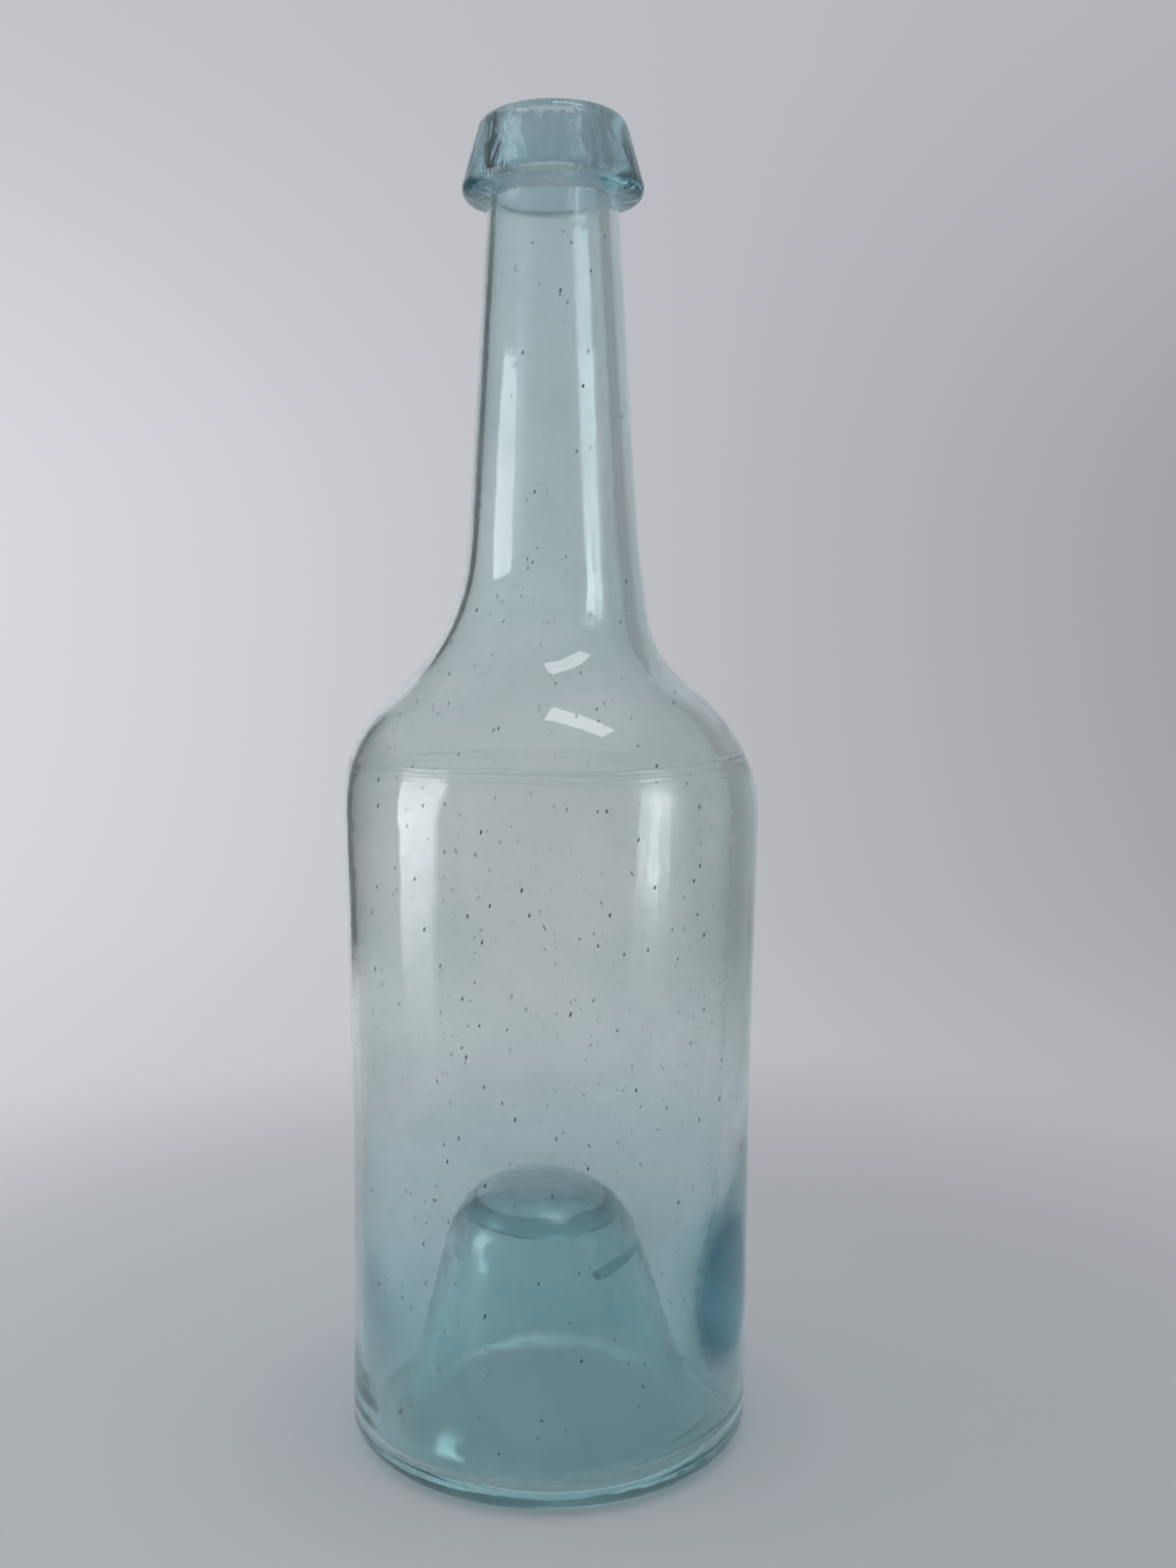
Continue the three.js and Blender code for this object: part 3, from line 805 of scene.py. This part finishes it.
def turned_tree():
    tree = bpy.data.node_groups.new("turned_glass", "GeometryNodeTree")
    given = group_inputs(tree, {
        "Outline": ("Geometry", None), "Facets": ("Int", 240), "Ripple Length": ("Float", 0.03),
        "Patch Angle": ("Float", math.radians(38)), "Tint Middle": ("Float", math.radians(59)),
        "Tint Angle": ("Float", math.radians(14)), "Left Share": ("Float", 0.26), "Seed": ("Float", 1.0),
        "Material": ("Material", None)})
    rows = add(tree, "GeometryNodeAttributeDomainSize", {"Geometry": given["Outline"]}).outputs["Point Count"]
    grid = add(tree, "GeometryNodeMeshGrid", {"Vertices X": maths(tree, "ADD", given["Facets"], 1.0),
                                              "Vertices Y": rows})
    index = add(tree, "GeometryNodeInputIndex").outputs[0]
    column = maths(tree, "FLOOR", maths(tree, "DIVIDE", index, rows))
    angle = maths(tree, "MULTIPLY", maths(tree, "DIVIDE", column, given["Facets"]), 2 * math.pi)
    read = outline_reader(tree, given["Outline"], maths(tree, "MODULO", index, rows))
    at, stray, relief = (add(tree, "ShaderNodeSeparateXYZ", {0: read(name)}).outputs
                         for name in (None, "stray", "relief"))
    inner, thick, worn, bulge = (read(name, "FLOAT") for name in ("inside", "thick", "worn", "bulge"))
    radius, height = at["X"], at["Z"]
    sine, cosine = maths(tree, "SINE", angle), maths(tree, "COSINE", angle)
    back = maths(tree, "MULTIPLY", cosine, -1.0)
    turned = add(tree, "ShaderNodeCombineXYZ", {
        0: maths(tree, "MULTIPLY", radius, sine), 1: maths(tree, "MULTIPLY", radius, back),
        2: height}).outputs[0]
    ripple = add(tree, "ShaderNodeTexNoise", {
        "Vector": turned,
        "W": maths(tree, "ADD", given["Seed"], maths(tree, "MULTIPLY", inner, hollow_seed_step)),
        "Scale": maths(tree, "DIVIDE", 1.0, given["Ripple Length"]), "Detail": 1.5, "Roughness": 0.4},
        noise_dimensions="4D").outputs[0]
    ripple = maths(tree, "MULTIPLY", maths(tree, "SUBTRACT", ripple, 0.5), 2.0)
    patch = bell(tree, angle, math.pi / 2, given["Patch Angle"])
    left_middle = maths(tree, "SUBTRACT", 2 * math.pi, given["Tint Middle"])
    right_tint = bell(tree, angle, given["Tint Middle"], given["Tint Angle"])
    left_tint = bell(tree, angle, left_middle, given["Tint Angle"])
    tinted = maths(tree, "ADD", right_tint, maths(tree, "MULTIPLY", left_tint, given["Left Share"]))
    change = maths(tree, "SUBTRACT", maths(tree, "MULTIPLY", ripple, relief["Z"]),
                   maths(tree, "MULTIPLY", patch, relief["Y"]))
    reach = maths(tree, "ADD", radius, change)
    lift = maths(tree, "ADD", maths(tree, "MULTIPLY", stray["Y"], sine),
                 maths(tree, "MULTIPLY", stray["Z"], cosine))
    wave = maths(tree, "MULTIPLY", relief["X"], maths(tree, "COSINE", maths(tree, "MULTIPLY", angle, 2.0)))
    bent = add(tree, "ShaderNodeCombineXYZ", {
        0: maths(tree, "ADD", maths(tree, "MULTIPLY", reach, sine), stray["X"]),
        1: maths(tree, "MULTIPLY", reach, back),
        2: maths(tree, "ADD", height, maths(tree, "ADD", lift, wave))}).outputs[0]
    deepened = maths(tree, "ADD", thick, maths(tree, "MULTIPLY", tinted, bulge))
    marked = grid.outputs["Mesh"]
    for name, value in (("inside", inner), ("thick", deepened), ("worn", worn)):
        marked = add(tree, "GeometryNodeStoreNamedAttribute", {
            "Geometry": marked, "Name": name, "Value": value}, data_type="FLOAT", domain="POINT").outputs[0]
    placed = add(tree, "GeometryNodeSetPosition", {"Geometry": marked, "Position": bent})
    closed = add(tree, "GeometryNodeMergeByDistance", {
        "Geometry": placed.outputs[0], "Distance": weld_distance})
    tree_end(tree, closed.outputs[0], given["Material"])
    return tree


turned_glass = turned_tree()
print("tree:", turned_glass.name, "nodes:", len(turned_glass.nodes))

# %% [markdown]
# A tree's result has to become a plain mesh before the piece rides on the body. Applying the modifier
# by an operator would need the right selection. Asking the evaluated object for its mesh needs none, and
# gives one clean mesh for the one body.


# %% From an outline to a plain mesh
def outline_object(name, points):
    """A mesh of points and edges, from (radius, height, stray, relief, inside, thick, worn) in millimetres.

    A last number, if there is one, deepens the colour at the thick patch.
    """
    mesh = bpy.data.meshes.new(name)
    edges = [(i, i + 1) for i in range(len(points) - 1)]
    mesh.from_pydata([(p[0] * MM, 0, p[1] * MM) for p in points], edges, [])
    for key, column in (("stray", 2), ("relief", 3)):
        values = mesh.attributes.new(key, "FLOAT_VECTOR", "POINT")
        values.data.foreach_set("vector", [v * MM for p in points for v in p[column]])
    for key, column in (("inside", 4), ("thick", 5), ("worn", 6), ("bulge", 7)):
        values = [p[column] if column < len(p) else 0 for p in points]
        mesh.attributes.new(key, "FLOAT", "POINT").data.foreach_set("value", values)
    made = bpy.data.objects.new(name, mesh)
    bpy.context.scene.collection.objects.link(made)
    return made


def grown(piece, tree, settings, sharp=math.radians(50)):
    """Runs a tree on the piece with these named settings and keeps the result as its plain mesh."""
    modifier = piece.modifiers.new(tree.name, "NODES")
    modifier.node_group = tree
    for socket in tree.interface.items_tree:
        if socket.in_out == "INPUT" and socket.name in settings:
            modifier[socket.identifier] = settings[socket.name]
    graph = bpy.context.evaluated_depsgraph_get()
    graph.update()
    mesh = bpy.data.meshes.new_from_object(piece.evaluated_get(graph))
    piece.modifiers.clear()
    piece.data = mesh
    mesh.polygons.foreach_set("use_smooth", [True] * len(mesh.polygons))
    mesh.set_sharp_from_angle(angle=sharp)
    return piece


print("steps:", outline_object.__name__, grown.__name__)

# %% [markdown]
# A closed mesh tells by its volume which way its faces point: below zero they point in. Recalculating
# normals could turn the inner wall round, so the whole mesh is flipped instead where that is needed. The
# volume is also the first thing a maker would check, because it is the glass that was gathered.


# %% Put a piece on the body and hide its solid
def signed_volume(mesh):
    """Volume in cubic millimetres, above zero where the faces point out."""
    mesh.calc_loop_triangles()
    spots = [v.co for v in mesh.vertices]
    return sum(spots[a].dot(spots[b].cross(spots[c])) for a, b, c in (
        t.vertices for t in mesh.loop_triangles)) / 6 / MM**3


def finished(piece, node, slot):
    """Makes a finished piece's faces point out, rides it on the body, hides its solid and prints its size."""
    volume = signed_volume(piece.data)
    if volume < 0:
        piece.data.flip_normals()
    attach(piece, "root")
    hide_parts(node)
    print(piece.name, "triangles:", len(piece.data.loop_triangles),
          "volume in ml:", round(abs(volume) / 1000, 1))


print("steps:", signed_volume.__name__, finished.__name__)

# %% [markdown]
# The body is the first gather: the push-up's underside, the heel, the outside, and then the whole
# hollow. It could be an outer and an inner shell, but then light would meet two loose skins. So it is
# one closed outline, and every point of it says how it ripples, how deep its colour is and how worn it
# is. The ring that the bottle stands on and the dome of the push-up are worn, and low glass is thick.

# %% Ripple, colour and wear of the body
outer_ripple, inner_ripple, kick_ripple, neck_calm = 0.05, 0.14, 1.2, 0.75
calm_foot, calm_axis, calm_join = (2, 12), (4, 12), 6
thick_patch_depth, thick_patch_height, thick_patch_reach = 3.2, 34.0, 16.0
floor_tilt, floor_tilt_rise = 2.0, 24
ring_wear, dome_wear, low_wear, kick_top_wear = 0.35, 0.42, 0.14, 0.26
ring_wear_heights, dome_wear_heights, low_wear_heights = (0.3, 1.6), (36, 46), (12, 60)
patch_tint, patch_tint_height, patch_tint_reach = 3.1, 41.0, 15.0
low_tint_share, dome_depth, kick_fade, neck_depth, lip_end_depth = 0.15, 0.6, 0.2, 0.26, 0.14
ring_heights, kick_heights, dome_heights, low_heights = (0, 7), (0, 30), (43, 51), (20, 95)


def glass_depth(z, on_kick):
    """How deep the colour is: 0 in the clear middle of the body, 1 in thick glass, more at the dome."""
    at_ring = low_tint_share + (1 - low_tint_share) * smooth(z, *ring_heights)
    if on_kick:
        return (1.0 - kick_fade * smooth(z, *kick_heights) + dome_depth * smooth(z, *dome_heights)) * at_ring
    low, high = 1 - smooth(z, *low_heights), smooth(z, shoulder_height, neck_root_height)
    return low * at_ring + neck_depth * high + lip_end_depth * smooth(z, neck_root_height, lip_join_height)


def hill(z, middle, reach):
    """A soft hill of height 1 about a height, in millimetres."""
    return math.exp(-(((z - middle) / reach) ** 2))


def body_point(at, inner, on_kick):
    """All that the outline says at a point: radius, height, stray, relief, inside, thick, worn and bulge."""
    x, z = at
    thick = glass_depth(z, on_kick)
    before_lip = 1 - smooth(z, lip_join_height - calm_join, lip_join_height)
    if not inner:
        moved = outside_drift(z) if not on_kick else kick_drift(z)
        ripple = outer_ripple * smooth(z, *calm_foot) * smooth(x, *calm_axis) * before_lip
        worn = max(ring_wear * (1 - smooth(z, *ring_wear_heights)),
                   dome_wear * smooth(z, *dome_wear_heights) if on_kick else 0)
        tint = 0 if on_kick else patch_tint * hill(z, patch_tint_height, patch_tint_reach)
        return (x, z, (moved, 0, 0), (0, 0, ripple), 0, thick, worn, tint)
    near_floor = floor_tilt * (1 - smooth(z, floor_thickness, floor_thickness + floor_tilt_rise))
    ripple = inner_ripple * smooth(x, *calm_axis) * before_lip
    ripple *= 1 - neck_calm * smooth(z, shoulder_height, neck_root_height)
    if on_kick:
        return (x, z, (kick_drift(z), near_floor, 0), (0, 0, ripple * kick_ripple), 1, thick, kick_top_wear)
    patch = thick_patch_depth * hill(z, thick_patch_height, thick_patch_reach)
    return (x, z, (inside_drift(z), near_floor, 0), (0, patch, ripple), 1, thick,
            low_wear * (1 - smooth(z, *low_wear_heights)))


print("colour at heel, belly and neck:", [round(glass_depth(z, False), 2) for z in (10, 100, 250)])

# %% [markdown]
# The outline runs up from the middle of the underside, round the heel and up the outside, and then down
# the hollow. It ends where the lip's glass begins, at one flat ring, so both lines are cut there.

# %% Body
floor_touch = 0.01


def cut_below(line, height):
    """The part of a line below a height, closed off exactly there."""
    kept = []
    for a, b in zip(line, line[1:]):
        if a.y <= height:
            kept.append(a)
        if (a.y - height) * (b.y - height) < 0:
            kept.append(a.lerp(b, (height - a.y) / (b.y - a.y)))
    return kept + ([line[-1]] if line[-1].y <= height else [])


def body_outline():
    """The outside and then the hollow, where each point knows whether it lies on the push-up."""
    wall = cut_below(rounded(underside + outside), lip_join_height)
    room = cut_below(rounded(hollow), lip_join_height)
    heel = next(i for i, p in enumerate(wall)
                if p.y < floor_touch and p.x > heel_radius - 2 * heel_fillet)
    trough = max(i for i, p in enumerate(room) if p.x > (kick_foot_radius + heel_radius - body_wall) / 2) + 1
    points = [body_point(p, False, i < heel) for i, p in enumerate(wall)]
    return points + [body_point(p, True, i >= trough) for i, p in enumerate(room)]


bottle_body = outline_object("glass_body", body_outline())
print("outline points:", len(bottle_body.data.vertices))
grown(bottle_body, turned_glass, {"Facets": 240, "Ripple Length": 0.03, "Seed": 4.0, "Material": aqua_glass})
finished(bottle_body, "bottle_body", "aqua_glass")

# %% [markdown]
# The lip is the second gather, melted onto the end of the neck, so no surface divides the two inside. A
# collar slipped over the neck would show a false joint there. So its mesh takes in the neck's end, and
# meets the body on one flat ring at its lower edge. Its skirt waves a little, as the tool left it.

# %% Lip
lip_top_radius, lip_skirt_radius = 15.6, 20.4
lip_under_rise, lip_top_fillet, lip_mouth_fillet, lip_skirt_fillet = 1.4, 3.0, 2.0, 2.4
join_overlap = 0.05
skirt_wave, lip_ripple, bore_wear = 0.5, 0.12, 0.2
lip_calm, skirt_rise, lip_ripple_rise, wave_radii = 0.5, 9, 3, (14.5, 18)
neck_slope = (neck_root_radius - neck_end_radius) / (neck_end_height - neck_root_height)


def lip_point(at):
    """What the lip's outline says at a point: the skirt waves, and the bore strays as the hollow does."""
    x, z = at
    low = 1 - smooth(z, lip_join_height + lip_calm, lip_join_height + skirt_rise)
    from_bore = smooth(x, bore_radius, neck_end_radius)
    moved = inside_drift(z) * (1 - from_bore) + outside_drift(z) * from_bore
    wave = skirt_wave * low * smooth(x, *wave_radii)
    ripple = lip_ripple * smooth(z, lip_join_height + lip_calm, lip_join_height + lip_ripple_rise)
    worn = bore_wear * (1 - from_bore) * (1 - low)
    return (x, z, (moved, 0, 0), (wave, 0, ripple), 1 - from_bore, 1, worn)


def bore_radius_at(z):
    """Radius of the bore at a height on the neck's straight end."""
    line = rounded(hollow)
    for a, b in zip(line, line[1:]):
        if b.y <= z <= a.y:
            return a.lerp(b, (a.y - z) / (a.y - b.y)).x
    return bore_radius


def lip_outline():
    """The lip and the neck's end in one closed line, from the bore at the join round to it again."""
    bottom = lip_join_height - join_overlap
    neck_radius = neck_end_radius + (neck_end_height - bottom) * neck_slope
    bore_at_join = bore_radius_at(bottom)
    corners = [(bore_at_join, bottom, 0), (neck_radius, bottom, 0),
               (lip_skirt_radius, lip_join_height + lip_under_rise, lip_skirt_fillet),
               (lip_top_radius, bottle_height, lip_top_fillet),
               (bore_radius, bottle_height, lip_mouth_fillet), (bore_radius, neck_end_height, 0),
               (bore_at_join, bottom, 0)]
    return [lip_point(p) for p in rounded(corners, step=0.8)]


applied_lip = outline_object("lip_collar", lip_outline())
grown(applied_lip, turned_glass, {"Facets": 192, "Ripple Length": 0.012, "Seed": 9.0, "Material": lip_glass})
finished(applied_lip, "applied_lip", "lip_glass")

# %% [markdown]
# The pontil rod held the bottle by the push-up while the lip was made. When it was cracked off it left a
# rough ring of its own glass under the dome. A bump could draw it, but the photograph shows its double
# edge through the glass, so it is a turned piece with a swollen face. It sits a hair inside the body's
# glass, as fused glass does.

# %% Pontil scar
scar_radius, scar_width, scar_thickness, scar_swell = 14.8, 2.6, 1.7, 0.6
scar_ripple, scar_wear = 0.5, 0.35
fused_depth = 0.15
under_line = rounded(underside + [(heel_radius, 0, 0)], step=0.5)


def underside_height(radius):
    """Height of the push-up's underside at a radius."""
    for a, b in zip(under_line, under_line[1:]):
        if a.x <= radius <= b.x:
            return a.lerp(b, (radius - a.x) / max(b.x - a.x, 1e-9)).y
    raise ValueError("no underside at that radius")


def scar_outline(steps=8, face_steps=14):
    """The seat, which follows the underside, and then the rounded face, back to the start."""
    inner, outer = scar_radius - scar_width / 2, scar_radius + scar_width / 2
    points = []
    for k in reversed(range(steps + 1)):
        r = inner + (outer - inner) * k / steps
        z = underside_height(r)
        points.append((r, z + fused_depth, (kick_drift(z), 0, 0), (0, 0, 0), 0, 1, scar_wear))
    for k in range(1, face_steps):
        t = k / face_steps
        r = inner + (outer - inner) * t
        depth = scar_thickness * math.sin(math.pi * t) ** 0.5
        swell = scar_swell * math.sin(math.pi * t)
        z = underside_height(r) - depth - swell / 2
        points.append((r, z, (kick_drift(z), 0, swell / 2), (0, 0, scar_ripple * math.sin(math.pi * t)), 0, 1,
                       scar_wear))
    return points + points[:1]


pontil_scar = outline_object("scar_ring", scar_outline())
grown(pontil_scar, turned_glass, {"Facets": 160, "Ripple Length": 0.005, "Seed": 2.0,
                                  "Material": pontil_glass})
finished(pontil_scar, "pontil_scar", "pontil_glass")

# %% [markdown]
# As the rod came away it drew a thread of its glass, which fell against the push-up and stuck there. A
# curve with a bevel could draw it. A tree that sweeps a circle along a course of points does the same,
# and takes the thickness as a named input. It is even all along, where a real thread grows thinner.


# %% Tree for a thread
def string_tree():
    """A thread of even thickness along a line of points."""
    tree = bpy.data.node_groups.new("glass_string", "GeometryNodeTree")
    given = group_inputs(tree, {"Course": ("Geometry", None), "Radius": ("Float", 0.0009),
                                "Material": ("Material", None)})
    line = add(tree, "GeometryNodeMeshToCurve", {"Mesh": given["Course"]})
    line = add(tree, "GeometryNodeCurveSplineType", {"Curve": line.outputs[0]}, spline_type="CATMULL_ROM")
    line = add(tree, "GeometryNodeResampleCurve", {"Curve": line.outputs[0], "Count": 60})
    section = add(tree, "GeometryNodeCurvePrimitiveCircle", {"Resolution": 16, "Radius": given["Radius"]})
    tube = add(tree, "GeometryNodeCurveToMesh", {
        "Curve": line.outputs[0], "Profile Curve": section.outputs[0], "Fill Caps": True})
    tree_end(tree, tube.outputs[0], given["Material"])
    return tree


glass_string = string_tree()
print("tree:", glass_string.name, "nodes:", len(glass_string.nodes))

# %% [markdown]
# The thread's course is given by degrees round the push-up, with the share of its fall that is over at
# each. Points in space could be typed in, but these stay on the glass when the push-up's size changes,
# because each point takes its distance from the underside's own outline.

# %% Pontil string
string_course = [(35, 0), (44, 0.4), (54, 1), (64, 1), (75, 0.9), (85, 0.6), (92, -2.2)]
string_radius, string_drop, string_fall = 1.1, 7.8, 0.8
string_sink, flat_top_radius = 2.5, 5


def underside_radius(height):
    """Radius of the push-up's underside at a height."""
    for a, b in zip(under_line, under_line[1:]):
        if b.y <= height <= a.y and a.x > flat_top_radius:
            return a.lerp(b, (a.y - height) / (a.y - b.y)).x
    raise ValueError("no underside at that height")


def string_points():
    """Points of the thread, hung by degrees from the front and by shares of its fall."""
    top = underside_height(scar_radius + scar_width / 2) - string_drop
    for degrees, share in string_course:
        z = top - string_fall * (1 - share)
        reach = underside_radius(z) - (string_radius - string_sink * fused_depth) * kick_steepness
        angle = math.radians(degrees)
        yield (reach * math.sin(angle) + kick_drift(z), -reach * math.cos(angle), z)


course = [Vector(p) * MM for p in string_points()]
course_mesh = bpy.data.meshes.new("string_thread")
course_mesh.from_pydata(course, [(i, i + 1) for i in range(len(course) - 1)], [])
pontil_string = bpy.data.objects.new("string_thread", course_mesh)
bpy.context.scene.collection.objects.link(pontil_string)
grown(pontil_string, glass_string, {"Radius": string_radius * MM, "Material": pontil_glass})
finished(pontil_string, "pontil_string", "pontil_glass")

# %% [markdown]
# Bubbles of gas stay in the glass as seeds, drawn out where the glass was pulled. Dark specks in the
# material would lie flat on the surface, and seeds lie at a depth. So a tree scatters small spheres over
# a surface in the middle of the wall and stretches each along the way the glass ran. Most stay small,
# because a random share raised to a high power sets how much they grow.

# %% Tree for seeds
smallest_seed, seed_rarity = 0.5, 5.0


def seed_tree():
    tree = bpy.data.node_groups.new("wall_seeds", "GeometryNodeTree")
    given = group_inputs(tree, {
        "Wall": ("Geometry", None), "Seeds per m2": ("Float", 34000.0), "Size": ("Float", 0.00016),
        "Stretch": ("Float", 2.4), "Seed": ("Int", 3), "Material": ("Material", None)})
    spots = add(tree, "GeometryNodeDistributePointsOnFaces", {
        "Mesh": given["Wall"], "Density": given["Seeds per m2"], "Seed": given["Seed"]})
    drawn = add(tree, "FunctionNodeRandomValue", {2: 0.0, 3: 1.0}, data_type="FLOAT").outputs[1]
    growth = maths(tree, "ADD", smallest_seed, maths(tree, "POWER", drawn, seed_rarity))
    size = maths(tree, "MULTIPLY", given["Size"], growth)
    tall = maths(tree, "MULTIPLY", size, given["Stretch"])
    scale = add(tree, "ShaderNodeCombineXYZ", {0: size, 1: size, 2: tall})
    bead = add(tree, "GeometryNodeMeshUVSphere", {"Segments": 7, "Rings": 4, "Radius": 1.0})
    aim = add(tree, "FunctionNodeAlignRotationToVector", {"Vector": (0.2, 0.05, 1)}, axis="Z")
    beads = add(tree, "GeometryNodeInstanceOnPoints", {
        "Points": spots.outputs["Points"], "Instance": bead.outputs[0], "Rotation": aim.outputs[0],
        "Scale": scale.outputs[0]})
    tree_end(tree, beads.outputs[0], given["Material"])
    return tree


wall_seeds = seed_tree()
print("tree:", wall_seeds.name, "nodes:", len(wall_seeds.nodes))

# %% [markdown]
# A real seed is a hollow, and shows dark at its rim because light turns back there. True hollows of this
# size would cost many bounces for each, so a seed is a small dark bead that lets some light pass. The
# surface it is scattered on is turned like the body, from an outline halfway through the wall.

# %% Seeds
seed_foot, seed_top_gap, seed_step = 8, 2, 6


def seed_material():
    material = bpy.data.materials.new("seed_gas")
    material.use_nodes = True
    shader = material.node_tree.nodes["Principled BSDF"]
    shader.inputs["Base Color"].default_value = (0.05, 0.08, 0.09, 1)
    shader.inputs["Roughness"].default_value = 0.3
    shader.inputs["Transmission Weight"].default_value = 0.3
    return material


def wall_middle():
    """Outline halfway through the wall, from the heel to the lip's join."""
    corners = [(heel_radius - body_wall / 2, seed_foot, 0), inset(outside, 1, body_wall / 2),
               inset(outside, 2, shoulder_wall / 2), inset(outside, 3, shoulder_wall / 2),
               inset(outside, 4, neck_wall / 2), (neck_end_radius - neck_end_wall / 2, neck_end_height, 0)]
    return [(p.x, p.y, ((outside_drift(p.y) + inside_drift(p.y)) / 2, 0, 0), (0, 0, 0), 0, 0, 0)
            for p in rounded(corners, step=seed_step) if p.y < lip_join_height - seed_top_gap]


glass_seeds = outline_object("glass_seeds", wall_middle())
grown(glass_seeds, turned_glass, {"Facets": 96})
grown(glass_seeds, wall_seeds, {"Material": seed_material()})
print("scattered seed faces:", len(glass_seeds.data.polygons))

# %% [markdown]
# Two seeds are large enough to be seen one by one in the photograph, one on the left of the body and one
# on the shoulder. The scatter can't be told to put a seed at a place, so these two are added to its
# mesh. The points and faces are then sorted by place, because the sphere tool gives them in any order.

# %% Large seeds
large_seeds = [(-33, 63.9, 43.0, 0.5), (-17, 160.0, 38.3, 0.33)]
large_seed_stretch = 1.2


def sort_by_place(parts, place_of):
    """Puts points or faces in the order of their places, so that each run gives the same mesh."""
    rank = {part: i for i, part in enumerate(sorted(parts, key=place_of))}
    parts.sort(key=rank.get)


def add_large_seeds(mesh, seeds):
    """Adds single seeds, given as degrees from the front, height, reach and radius in millimetres."""
    shape = bmesh.new()
    shape.from_mesh(mesh)
    for degrees, height, reach, size in seeds:
        turn = math.radians(degrees)
        place = Vector((reach * math.sin(turn), -reach * math.cos(turn), height)) * MM
        stretch = Matrix.Diagonal((1, 1, large_seed_stretch, 1))
        bmesh.ops.create_uvsphere(shape, u_segments=12, v_segments=8, radius=size * MM,
                                  matrix=Matrix.Translation(place) @ stretch)
    sort_by_place(shape.verts, lambda point: tuple(point.co))
    sort_by_place(shape.faces, lambda face: tuple(face.calc_center_median()))
    shape.to_mesh(mesh)
    shape.free()
    mesh.polygons.foreach_set("use_smooth", [True] * len(mesh.polygons))


add_large_seeds(glass_seeds.data, large_seeds)
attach(glass_seeds, "root")
print("seed triangles:", sum(len(p.vertices) - 2 for p in glass_seeds.data.polygons))

# %% [markdown]
# Light crosses a wall of glass many times before it leaves a bottle. Short paths render faster, but they
# end inside thick glass and leave it black, so paths may be long here.

# %% Finish
longest_glass_path = 24
cycles = bpy.context.scene.cycles
cycles.max_bounces = longest_glass_path
cycles.transmission_bounces = longest_glass_path
cycles.glossy_bounces = 12
cycles.transparent_max_bounces = 16
bpy.context.scene.view_settings.view_transform = "Standard"
